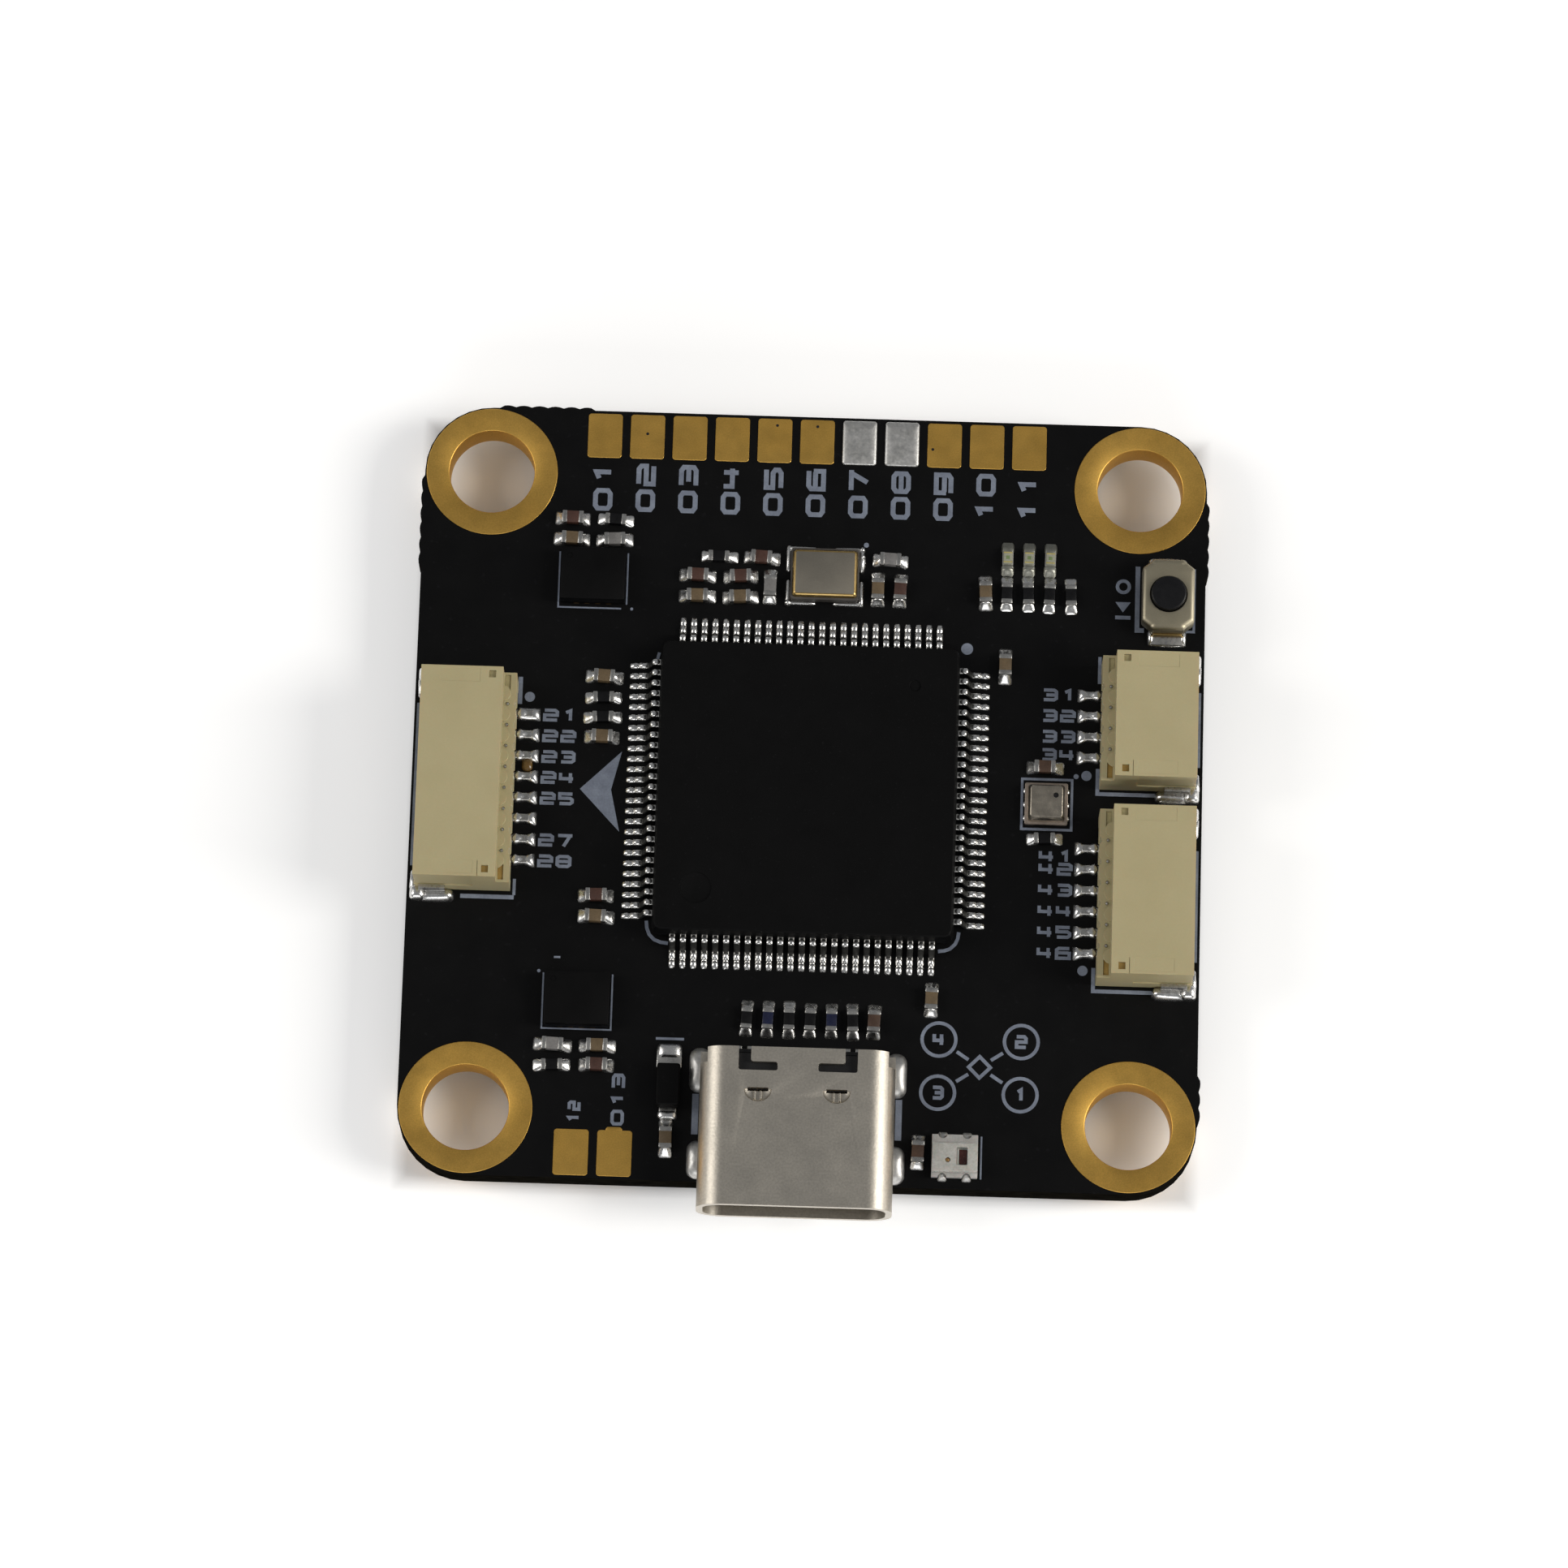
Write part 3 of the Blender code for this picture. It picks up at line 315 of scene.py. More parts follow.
def piece(name, shape, looks, node=None, at=(), slot=None, body="root", sharp=35.0, underside=False):
    """Makes a shape, or a list of them, one piece of the model, which may stand for a CAD node.

    The looks are short names of materials; the slot, or else the first look's, only decides if the piece is
    shaded as solder.
    """
    bm = placed(joined(shape) if isinstance(shape, list) else shape, *at)
    if underside:
        matrix = Matrix.Translation((0.0, 0.0, BOTTOM * MM)) @ Matrix.Diagonal((MM, -MM, -MM, 1.0))
    else:
        matrix = Matrix.Translation((0.0, 0.0, TOP * MM)) @ Matrix.Scale(MM, 4)
    bmesh.ops.transform(bm, matrix=matrix, verts=bm.verts)
    mesh = bpy.data.meshes.new(name)
    bm.to_mesh(mesh)
    bm.free()
    for look in looks.split():
        mesh.materials.append(finish(look))
    slot = slot or LOOKS[looks.split()[0]][0]
    mesh.shade_smooth()
    mesh.set_sharp_from_angle(angle=math.radians(SOLDER_SHARP if slot == "solder" else sharp))
    item = bpy.data.objects.new(name, mesh)
    bpy.context.scene.collection.objects.link(item)
    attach(item, body)
    if node:
        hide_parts(node)
    return item


def dress(node, look):
    """Gives a CAD node that is shown as it is its material."""
    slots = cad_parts[node].data.materials
    slots.clear()
    slots.append(finish(look))


# ---- Materials ------------------------------------------------------------------------------

def feed(tree, socket, value):
    """Sets an input to a value, or links it to a socket."""
    if isinstance(value, bpy.types.NodeSocket):
        tree.links.new(value, socket)
    else:
        socket.default_value = value


def add(tree, kind, settings=None, **inputs):
    """Adds a shader node, with its properties and its inputs, which are values or sockets."""
    made = tree.nodes.new("ShaderNode" + kind)
    for key, value in (settings or {}).items():
        setattr(made, key, value)
    for key, value in inputs.items():
        feed(tree, made.inputs[key.replace("_", " ")], value)
    return made


def maths(tree, operation, *values):
    """A Math node's output; the values may be sockets."""
    made = add(tree, "Math", {"operation": operation})
    for socket, value in zip(made.inputs, values):
        feed(tree, socket, value)
    return made.outputs[0]


def ramp(tree, factor, *stops):
    """A colour ramp's output; each stop is (position, colour), and a number is a grey."""
    made = add(tree, "ValToRGB", Fac=factor)
    while len(made.color_ramp.elements) < len(stops):
        made.color_ramp.elements.new(0.5)
    for element, (position, colour) in zip(made.color_ramp.elements, stops):
        element.position = position
        if isinstance(colour, (int, float)):
            colour = (colour,) * 3
        element.color = (*colour, 1.0)
    return made.outputs["Color"]


def mixed(tree, factor, first, second, mode="MIX"):
    """Two colours mixed; either may be a socket."""
    made = add(tree, "MixRGB", {"blend_type": mode}, Fac=factor)
    for name, colour in (("Color1", first), ("Color2", second)):
        value = colour if isinstance(colour, bpy.types.NodeSocket) else (*colour, 1.0)
        feed(tree, made.inputs[name], value)
    return made.outputs["Color"]


def noise(tree, scale, detail=3.0, stretch=(1.0, 1.0, 1.0)):
    """Noise in the frame's own space; the scale is in cycles for each millimetre."""
    coords = add(tree, "TexCoord").outputs["Object"]
    size = tuple(scale * s / MM for s in stretch)
    vector = add(tree, "Mapping", Vector=coords, Scale=size).outputs["Vector"]
    return add(tree, "TexNoise", Vector=vector, Scale=1.0, Detail=detail).outputs["Fac"]


def surface(
    name, dark, light, rough, metallic=0.0, patches=2.0, grain=14.0, relief=0.003,
    speck=None, mottle=0.82, **sockets
):
    """A material with blotchy colour, fine grain in its colour, roughness and bump, and specks.

    Patches and grain are in cycles for each millimetre, and relief is in millimetres.
    """
    material = bpy.data.materials.new(name)
    material.use_nodes = True
    tree = material.node_tree
    inputs = tree.nodes["Principled BSDF"].inputs
    inputs["Metallic"].default_value = metallic
    for key, value in sockets.items():
        inputs[key.replace("_", " ")].default_value = value
    broad = noise(tree, patches, 4.0)
    fine = noise(tree, grain, 2.0)
    colour = ramp(tree, broad, (0.3, dark), (0.7, light))
    shade = ramp(tree, fine, (0.3, mottle), (0.7, 1.0))
    colour = mixed(tree, 1.0, colour, shade, "MULTIPLY")
    if speck:
        spots = ramp(tree, noise(tree, grain * 0.45, 1.0), (0.70, 0.0), (0.76, 1.0))
        colour = mixed(tree, spots, colour, speck)
    tree.links.new(colour, inputs["Base Color"])
    uneven = ramp(tree, noise(tree, patches * 3.0, 5.0), (0.3, rough[0]), (0.7, rough[1]))
    tree.links.new(uneven, inputs["Roughness"])
    if relief:
        bump = add(tree, "Bump", Height=fine, Strength=0.6, Distance=relief * MM)
        tree.links.new(bump.outputs["Normal"], inputs["Normal"])
    return material


def mask_finish():
    """Black solder mask on the board's faces, and pressed glass cloth on its cut edges."""
    material = surface(
        "solder_mask", (0.0021, 0.0021, 0.0023), (0.0030, 0.0030, 0.0032), (0.42, 0.52), patches=0.25,
        grain=9.0, relief=0.0015, speck=(0.005, 0.005, 0.0055),
    )
    tree = material.node_tree
    inputs = tree.nodes["Principled BSDF"].inputs
    mask = inputs["Base Color"].links[0].from_socket
    normal = add(tree, "TexCoord").outputs["Normal"]
    level = maths(tree, "ABSOLUTE", add(tree, "SeparateXYZ", Vector=normal).outputs["Z"])
    cloth = noise(tree, 1.2, 2.0, (1.0, 1.0, 5.0))
    plies = ramp(tree, cloth, (0.35, (0.003, 0.0028, 0.0024)), (0.65, (0.009, 0.008, 0.006)))
    facing = ramp(tree, level, (0.3, 0.0), (0.6, 1.0))
    tree.links.new(mixed(tree, facing, plies, mask), inputs["Base Color"])
    gloss = ramp(tree, level, (0.3, 0.0), (0.6, 0.12))
    tree.links.new(gloss, inputs["Specular IOR Level"])
    return material


FLOOR_SCALE = 0.05  # metres from the middle, where the ramp of the floor's glow ends
# painted shadow: the floor glows far less under the board than around it
FLOOR_GLOW_AND_PAINTED_SHADOW = ((0.36, 0.04), (0.375, 0.36))  # share of that, strength: under the board, around it


def floor_finish():
    """A plain pale floor that glows a little around the board, as a lit table does, and far less under the
    board, as a painted shadow.
    """
    material = surface(
        "pale_floor", (0.93, 0.93, 0.93), (0.95, 0.95, 0.95), (0.6, 0.7), patches=0.002, grain=0.02,
        relief=0.0, Emission_Color=(1.0, 1.0, 1.0, 1.0),
    )
    tree = material.node_tree
    apart = add(tree, "SeparateXYZ", Vector=add(tree, "TexCoord").outputs["Object"])
    sides = [maths(tree, "ABSOLUTE", apart.outputs[axis]) for axis in "XY"]
    share = maths(tree, "MULTIPLY", maths(tree, "MAXIMUM", *sides), 1.0 / FLOOR_SCALE)
    glow = ramp(tree, share, *FLOOR_GLOW_AND_PAINTED_SHADOW)
    tree.links.new(glow, tree.nodes["Principled BSDF"].inputs["Emission Strength"])
    return material


LOOKS = {
    # look: (slot of the record, material, darkest colour, lightest colour, least and most roughness,
    # the rest of what surface() takes)
    "ink": (
        "silkscreen_ink", "silkscreen_ink", (0.14, 0.16, 0.21), (0.21, 0.24, 0.30), (0.55, 0.7),
        dict(patches=1.4, grain=11.0),
    ),
    "gold": (
        "gold_plating", "immersion_gold", (0.68, 0.405, 0.09), (0.73, 0.445, 0.105), (0.42, 0.5),
        dict(metallic=1.0, patches=0.4, grain=18.0, relief=0.0015),
    ),
    "epoxy": (
        "black_epoxy", "moulded_epoxy", (0.0019, 0.0019, 0.002), (0.0027, 0.0027, 0.0029), (0.55, 0.68),
        dict(patches=0.4, grain=18.0, relief=0.006, speck=(0.005, 0.005, 0.0055), Specular_IOR_Level=0.09),
    ),
    "sensor": (
        "black_epoxy", "sensor_epoxy", (0.0019, 0.0019, 0.002), (0.0028, 0.0028, 0.003), (0.5, 0.62),
        dict(patches=0.6, grain=16.0, Specular_IOR_Level=0.09),
    ),
    "tin": (
        "tinned_metal", "tinned_copper", (0.45, 0.44, 0.42), (0.62, 0.61, 0.58), (0.24, 0.38),
        dict(metallic=1.0, patches=2.5, grain=20.0),
    ),
    "solder": (
        "solder", "solder", (0.74, 0.735, 0.72), (0.86, 0.85, 0.83), (0.20, 0.32),
        dict(metallic=1.0, patches=1.6, grain=7.0, relief=0.004),
    ),
    "dull_solder": (
        "solder", "dull_solder", (0.58, 0.575, 0.55), (0.72, 0.71, 0.69), (0.38, 0.52),
        dict(metallic=1.0, patches=1.6, grain=9.0, relief=0.008),
    ),
    "nickel": (
        "nickel_steel", "nickel_plated_steel", (0.57, 0.53, 0.46), (0.61, 0.565, 0.49), (0.38, 0.44),
        dict(metallic=1.0, patches=0.3, grain=10.0, relief=0.009),
    ),
    "cover": (
        "nickel_steel", "button_cover_steel", (0.385, 0.345, 0.25), (0.42, 0.38, 0.28), (0.44, 0.5),
        dict(metallic=1.0, patches=0.5, relief=0.002, mottle=0.94),
    ),
    "lid": (
        "lid_metal", "crystal_lid", (0.325, 0.295, 0.245), (0.35, 0.32, 0.265), (0.42, 0.48),
        dict(metallic=1.0, patches=0.4, grain=16.0, relief=0.005, mottle=0.93),
    ),
    # painted shade: a dark copy of steel on the status lamps' terminals and their solder
    "shaded_steel": (
        "", "lamp_terminal_painted_shade", (0.30, 0.30, 0.26), (0.40, 0.40, 0.35), (0.35, 0.5),
        dict(metallic=1.0, patches=2.5, grain=16.0),
    ),
    # painted shade: a dark copy of tin for the leads' sloping bends
    "shaded_tin": (
        "", "lead_bend_painted_shade", (0.05, 0.05, 0.048), (0.09, 0.09, 0.085), (0.5, 0.62),
        dict(metallic=1.0, patches=2.5, grain=16.0, relief=0.002),
    ),
    "beige_metal": (
        "lid_metal", "sensor_lid", (0.38, 0.34, 0.28), (0.50, 0.45, 0.37), (0.28, 0.4),
        dict(metallic=1.0, patches=1.4, grain=16.0),
    ),
    "base_metal": (
        "lid_metal", "sensor_base", (0.38, 0.31, 0.25), (0.48, 0.40, 0.33), (0.35, 0.5),
        dict(metallic=1.0, patches=1.6),
    ),
    "dark_copper": (
        "", "dark_copper", (0.035, 0.022, 0.012), (0.06, 0.04, 0.02), (0.5, 0.65),
        dict(metallic=1.0, patches=3.0, relief=0.002),
    ),
    "copper": (
        "", "copper_dot", (0.42, 0.24, 0.10), (0.55, 0.34, 0.15), (0.3, 0.45),
        dict(metallic=1.0, patches=3.0, relief=0.002),
    ),
    "milky": (
        "", "milky_resin", (0.42, 0.415, 0.38), (0.52, 0.515, 0.48), (0.22, 0.34),
        dict(patches=1.6, grain=10.0, relief=0.002, Subsurface_Weight=0.2, Subsurface_Scale=0.0004,
             Coat_Weight=0.3),
    ),
    "rim_gold": (
        "tinned_metal", "lid_rim", (0.46, 0.32, 0.12), (0.53, 0.37, 0.15), (0.28, 0.36),
        dict(metallic=1.0, patches=1.2, relief=0.001),
    ),
    "cream": (
        "cream_nylon", "cream_nylon", (0.42, 0.362, 0.2), (0.45, 0.39, 0.22), (0.44, 0.54),
        dict(patches=0.35, grain=12.0, relief=0.002, mottle=0.97, Subsurface_Weight=0.12,
             Subsurface_Scale=0.0006),
    ),
    # painted shade in the housing's recesses: dark brown at the end nearer the front, faint at the far end
    "stain": ("cream_nylon", "pocket_shade_paint", (0.30, 0.18, 0.035), (0.37, 0.24, 0.06), (0.5, 0.65), {}),
    "faint_stain": ("", "pocket_shade_paint_faint", (0.38, 0.325, 0.16), (0.43, 0.37, 0.19), (0.5, 0.65), {}),
    "black": (
        "black_nylon", "black_nylon", (0.006, 0.006, 0.007), (0.010, 0.010, 0.011), (0.42, 0.55),
        dict(patches=0.8, relief=0.004, Specular_IOR_Level=0.35),
    ),
    "rubber_black": (
        "black_nylon", "plunger_nylon", (0.004, 0.004, 0.005), (0.007, 0.007, 0.008), (0.35, 0.45),
        dict(patches=1.2, grain=10.0, Specular_IOR_Level=0.25),
    ),
    "white": (
        "white_resin", "white_resin", (0.40, 0.39, 0.37), (0.50, 0.49, 0.47), (0.3, 0.45),
        dict(patches=1.2, grain=12.0, Subsurface_Weight=0.1, Subsurface_Scale=0.0004),
    ),
    "pearl": (
        "", "lamp_lens", (0.27, 0.275, 0.21), (0.35, 0.35, 0.27), (0.15, 0.28),
        dict(relief=0.002, Coat_Weight=0.4),
    ),
    "yellow": ("", "phosphor", (0.36, 0.29, 0.08), (0.46, 0.38, 0.13), (0.3, 0.45), dict(relief=0.002)),
    "green": (
        "", "lamp_die", (0.12, 0.17, 0.07), (0.18, 0.24, 0.10), (0.2, 0.3),
        dict(patches=3.0, relief=0.001),
    ),
    "die_red": (
        "clear_resin", "driver_die", (0.045, 0.012, 0.010), (0.075, 0.022, 0.016), (0.15, 0.3),
        dict(patches=3.0, relief=0.001),
    ),
    "tan": (
        "capacitor_ceramic", "ceramic_tan", (0.105, 0.072, 0.036), (0.145, 0.1, 0.052), (0.4, 0.55),
        dict(grain=16.0, relief=0.004),
    ),
    "brown": (
        "capacitor_ceramic", "ceramic_brown", (0.06, 0.031, 0.018), (0.088, 0.047, 0.028), (0.4, 0.55),
        dict(grain=16.0, relief=0.004),
    ),
    "red_brown": (
        "capacitor_ceramic", "ceramic_red_brown", (0.048, 0.02, 0.013), (0.072, 0.03, 0.02), (0.4, 0.55),
        dict(grain=16.0, relief=0.004),
    ),
    "grey": (
        "capacitor_ceramic", "ceramic_grey", (0.155, 0.15, 0.145), (0.22, 0.212, 0.205), (0.4, 0.55),
        dict(grain=16.0, relief=0.004),
    ),
    "blue": (
        "resistor_film", "glaze_blue", (0.004, 0.006, 0.028), (0.007, 0.011, 0.045), (0.25, 0.4),
        dict(grain=16.0),
    ),
    "film": (
        "resistor_film", "resistor_film", (0.003, 0.003, 0.0035), (0.005, 0.005, 0.006), (0.35, 0.5),
        dict(grain=16.0, Specular_IOR_Level=0.2),
    ),
    "alumina": (
        "white_resin", "alumina", (0.30, 0.29, 0.28), (0.40, 0.39, 0.37), (0.45, 0.6),
        dict(grain=16.0),
    ),
    "ferrite": (
        "ferrite", "pressed_ferrite", (0.022, 0.022, 0.024), (0.048, 0.047, 0.046), (0.6, 0.8),
        dict(patches=1.5, grain=9.0, relief=0.02, speck=(0.09, 0.088, 0.085)),
    ),
    "base_ceramic": (
        "brown_ceramic", "package_ceramic", (0.05, 0.045, 0.04), (0.08, 0.072, 0.065), (0.5, 0.65),
        dict(patches=1.0, relief=0.004),
    ),
    "flux": (
        "brown_ceramic", "dried_flux", (0.10, 0.055, 0.012), (0.17, 0.10, 0.03), (0.12, 0.3),
        dict(patches=3.0, relief=0.004),
    ),
}


FINISHES = {"mask": mask_finish()}


def finish(look):
    """A material by its short name, made the first time it is asked for."""
    if look not in FINISHES:
        _, name, dark, light, rough, rest = LOOKS[look]
        FINISHES[look] = surface(name, dark, light, rough, **rest)
    return FINISHES[look]


# ---- Board, plated holes, pads and ink ------------------------------------------------------

PAD_LIFT = 0.03
HOLE_RADIUS = 2.0
PAD_PITCH = 2.0
TOP_PADS = 11
TOP_PAD_Y = 17.18
PAD_SIZE = (1.6, 2.15)
PAD_CORNER = 0.14
PAD_HEAP = (  # the solder on a tinned pad: share of the pad's size, height
    (1.004, 0.0), (1.0, PAD_LIFT + 0.03), (0.96, 0.09), (0.85, 0.13), (0.6, 0.15), (0.2, 0.155),
)
SOLDERED_PADS = (6, 7)
VIA_PADS = {1: (0.0, 0.15), 4: (0.1, 0.75), 5: (0.0, 0.75), 8: (-0.55, -0.2)}
FRONT_PADS = ((-10.33, -17.2), (-8.33, -17.2))


def make_holes():
    """The gold ring and barrel of each mounting hole, with softened lips."""
    for i in range(1, 5):
        node = f"plated_hole_{i}"
        low, high = node_box(node)
        outer = (high.x - low.x) / 2
        lip = [  # radius, depth below the ring's face
            (HOLE_RADIUS, 0.05),
            (HOLE_RADIUS + 0.02, 0.015),
            (HOLE_RADIUS + 0.05, 0.0),
            (outer - 0.02, 0.0),
            (outer, 0.02),
            (outer, 0.04),
            (HOLE_RADIUS + 0.1, 0.04),
        ]
        profile = [(radius, high.z - depth) for radius, depth in lip]
        profile += [(radius, low.z + depth) for radius, depth in reversed(lip[:1] + lip[2:])]
        ring = lathe(profile, closed=True, steps=96)
        piece(f"hole_plating_{i}", ring, "gold", node, at=((low + high) / 2).xy)


def pad(x, y, width, length, lift=PAD_LIFT):
    """A flat pad with softened edges."""
    inner = 1.0 - 0.02 / min(width, length)
    return mound(rounded(x, y, width, length, PAD_CORNER), ((1.0, -0.01), (1.0, lift * 0.6), (inner, lift)))


def make_pads():
    """The rear row of wire pads, two of them tinned, and the two front pads."""
    gold = []
    tinned = []
    holes = []
    for i, x in enumerate(spread(TOP_PADS, PAD_PITCH)):
        gold.append(pad(x, TOP_PAD_Y, *PAD_SIZE))
        if i in SOLDERED_PADS:
            tinned.append(mound(rounded(x, TOP_PAD_Y, *PAD_SIZE, PAD_CORNER), PAD_HEAP))
        if i in VIA_PADS:
            dx, dy = VIA_PADS[i]
            holes.append(prism([circle(x + dx, TOP_PAD_Y + dy, 0.07, 12)], PAD_LIFT, PAD_LIFT + 0.006))
    gold += [pad(x, y, *PAD_SIZE) for x, y in FRONT_PADS]
    x, y = FRONT_PADS[1]
    gold.append(pad(x - 0.05, y + 1.08, 0.75, 0.3, PAD_LIFT - 0.004))
    piece("wire_pads", gold, "gold")
    piece("pad_solder", tinned, "dull_solder")
    piece("pad_vias", holes, "black", slot="solder_mask")


INK_LIFT = 0.014
INK_STEP = 0.003  # crossing lines are printed this much lower, so that no two faces coincide


def ribbon(points, width, closed=False):
    """The outline of a line of a width through points, with mitred joints."""
    path = [Vector(point) for point in points]
    last = len(path) - 1
    sides = []
    for i, here in enumerate(path):
        before = here - path[i - 1] if i or closed else path[1] - here
        after = path[(i + 1) % len(path)] - here if i < last or closed else before
        before = before.normalized()
        after = after.normalized()
        mitre = (before + after).normalized()
        sides.append(Vector((-mitre.y, mitre.x)) * (width / 2 / max(mitre.dot(after), 0.5)))
    left = [tuple(point + side) for point, side in zip(path, sides)]
    right = [tuple(point - side) for point, side in zip(path, sides)]
    return [left, right] if closed else [left + right[::-1]]


def stroke(points, width=0.14, closed=False, level=0):
    """A printed line through points."""
    return prism(ribbon(points, width, closed), 0.0, INK_LIFT - INK_STEP * level)


def dot(x, y, radius):
    """A printed dot."""
    return prism([circle(x, y, radius, 20)], 0.0, INK_LIFT)


# Each digit's lines on a unit square: (points, whether the line closes on itself).
FRAME = ((0.18, 0), (0.82, 0), (1, 0.16), (1, 0.84), (0.82, 1), (0.18, 1), (0, 0.84), (0, 0.16))
DIGITS = {
    "0": ((FRAME, True),),
    "1": ((((0.25, 0.8), (0.6, 1), (0.6, 0)), False),),
    "2": ((((0, 1), (0.82, 1), (1, 0.84), (1, 0.5), (0, 0.5), (0, 0), (1, 0)), False),),
    "3": (
        (((0, 1), (0.82, 1), (1, 0.84), (1, 0.16), (0.82, 0), (0, 0)), False),
        (((0.2, 0.5), (1, 0.5)), False),
    ),
    "4": ((((0, 1), (0, 0.42), (1, 0.42)), False), (((0.78, 1), (0.78, 0)), False)),
    "5": ((((1, 1), (0, 1), (0, 0.55), (0.82, 0.55), (1, 0.4), (1, 0.15), (0.82, 0), (0, 0)), False),),
    "6": (
        (((1, 1), (0.18, 1), (0, 0.84), (0, 0), (1, 0), (1, 0.68)), False),
        (((0.0, 0.55), (0.95, 0.55)), False),
    ),
    "7": ((((0, 1), (1.12, 1)), False), (((0.95, 1), (0.45, -0.1)), False)),
    "8": ((FRAME, True), (((0.1, 0.5), (0.9, 0.5)), False)),
    "9": (
        (((0, 0), (0.82, 0), (1, 0.16), (1, 1), (0, 1), (0, 0.32)), False),
        (((0.05, 0.45), (0.95, 0.45)), False),
    ),
}


def label(text, x, y, height, turn=0.0, align="LEFT", wide=1.2, weight=0.25):
    """A printed number in square-cut digits, centred on y; wide is a digit's width by its height."""
    thick = height * weight
    span = Vector((height * wide - thick, height - thick))
    advance = height * (wide + 0.17)
    start = height * 0.17 - advance * len(text) if align == "RIGHT" else 0.0
    shapes = []
    for n, digit in enumerate(text):
        left = start + n * advance + thick / 2
        for level, (points, closed) in enumerate(DIGITS[digit]):
            line = [(left + px * span.x, (py - 0.5) * span.y) for px, py in points]
            shapes.append(stroke(line, thick, closed, level))
    return placed(joined(shapes), x, y, turn)


# Printed lines: width, then the points of each.
INK_LINES = (
    (0.075, ((-11.9, 11.45), (-11.9, 8.75), (-8.95, 8.75))),
    (0.075, ((-8.7, 11.45), (-8.7, 8.95))),
    (0.075, ((-11.9, -8.8), (-11.9, -11.42), (-8.7, -11.42), (-8.7, -8.8))),
    (0.1, ((-11.45, -8.05), (-11.15, -8.05))),
    (0.2, ((-13.5, 5.3), (-13.5, 4.0))),
    (0.2, ((-15.9, -5.28), (-13.42, -5.28))),
    (0.14, ((-13.42, -5.17), (-13.42, -4.4))),
    (0.16, ((13.52, 7.1), (13.52, 5.8))),
    (0.18, ((13.52, 1.7), (13.52, 0.5), (16.2, 0.5))),
    (0.18, ((13.5, -7.8), (13.5, -8.9), (16.2, -8.9))),
    (0.16, ((18.2, 5.5), (18.2, 1.9))),
    (0.16, ((18.2, -2.1), (18.2, -7.4))),
    (0.14, ((-18.22, 3.9), (-18.22, -3.9))),
    (0.3, ((-4.68, -14.3), (-4.68, -16.2))),
    (0.3, ((4.68, -14.3), (4.68, -16.2))),
    (0.12, ((-6.6, -11.75), (-5.3, -11.75))),
    (0.08, ((8.52, -15.9), (8.52, -17.9))),
    (0.22, ((15.22, 11.55), (15.22, 8.45), (15.55, 8.45))),
    (0.12, ((17.88, 11.5), (17.88, 8.45), (17.5, 8.45))),
    (0.16, ((-7.24, -6.2), (-7.2, -6.55), (-7.08, -6.85), (-6.85, -7.08), (-6.55, -7.2), (-6.2, -7.24))),
    (0.16, ((7.24, -6.3), (7.2, -6.6), (7.08, -6.88), (6.85, -7.1), (6.6, -7.2), (6.3, -7.24))),
    (0.14, ((-7.16, 6.32), (-7.08, 6.68))),
)
BAROMETER_FRAME = ((10.02, 1.12), (10.02, -1.28), (12.34, -1.28), (12.34, 1.12))
INK_DOTS = (
    (7.3, 7.3, 0.28),
    (-8.45, 8.75, 0.07),
    (-12.12, -8.72, 0.08),
    (2.45, 12.2, 0.12),
    (12.52, 1.3, 0.12),
    (-13.05, 4.35, 0.24),
    (13.0, 1.35, 0.24),
    (13.0, -7.95, 0.24),
)
LABEL_HEIGHT = 0.62
PAD_LABEL_Y = 13.5
PAD_LABEL_HEIGHT = 0.92
ARROW = ((-10.55, 0.0), (-8.65, 1.85), (-9.1, 0.0), (-8.65, -2.0))
LEFT_LABELS = ((3.5, "21"), (2.5, "22"), (1.5, "23"), (0.5, "24"), (-0.5, "25"), (-2.5, "27"), (-3.5, "28"))
RIGHT_LABELS = (
    (5.2, "31"),
    (4.2, "32"),
    (3.2, "33"),
    (2.32, "34"),
    (-2.55, "41"),
    (-3.15, "42"),
    (-4.15, "43"),
    (-5.15, "44"),
    (-6.15, "45"),
    (-7.15, "46"),
)


def make_ink():
    """The printed outlines, numbers and marks on the board's top face."""
    lines = [stroke(points, width) for width, points in INK_LINES] + [dot(*place) for place in INK_DOTS]
    lines.append(stroke(BAROMETER_FRAME, 0.12, closed=True))
    piece("silkscreen_lines", lines, "ink")
    numbers = []
    for i, x in enumerate(spread(TOP_PADS, PAD_PITCH)):
        numbers.append(label(f"{i + 1:02d}", x, PAD_LABEL_Y, PAD_LABEL_HEIGHT, 90.0))
    numbers += [label(text, -12.4, y, LABEL_HEIGHT) for y, text in LEFT_LABELS]
    numbers += [label(text, 12.45, y, LABEL_HEIGHT, align="RIGHT") for y, text in RIGHT_LABELS]
    numbers.append(label("12", -10.25, -15.85, 0.6, 90.0, wide=0.8))
    numbers.append(label("013", -8.25, -15.9, 0.62, 90.0))
    piece("silkscreen_numbers", numbers, "ink")
    piece("silkscreen_arrow", prism([ARROW[::-1]], 0.0, INK_LIFT), "ink")
    piece("silkscreen_marks", motor_map(8.35, -12.65) + button_mark(14.55, 9.9), "ink")


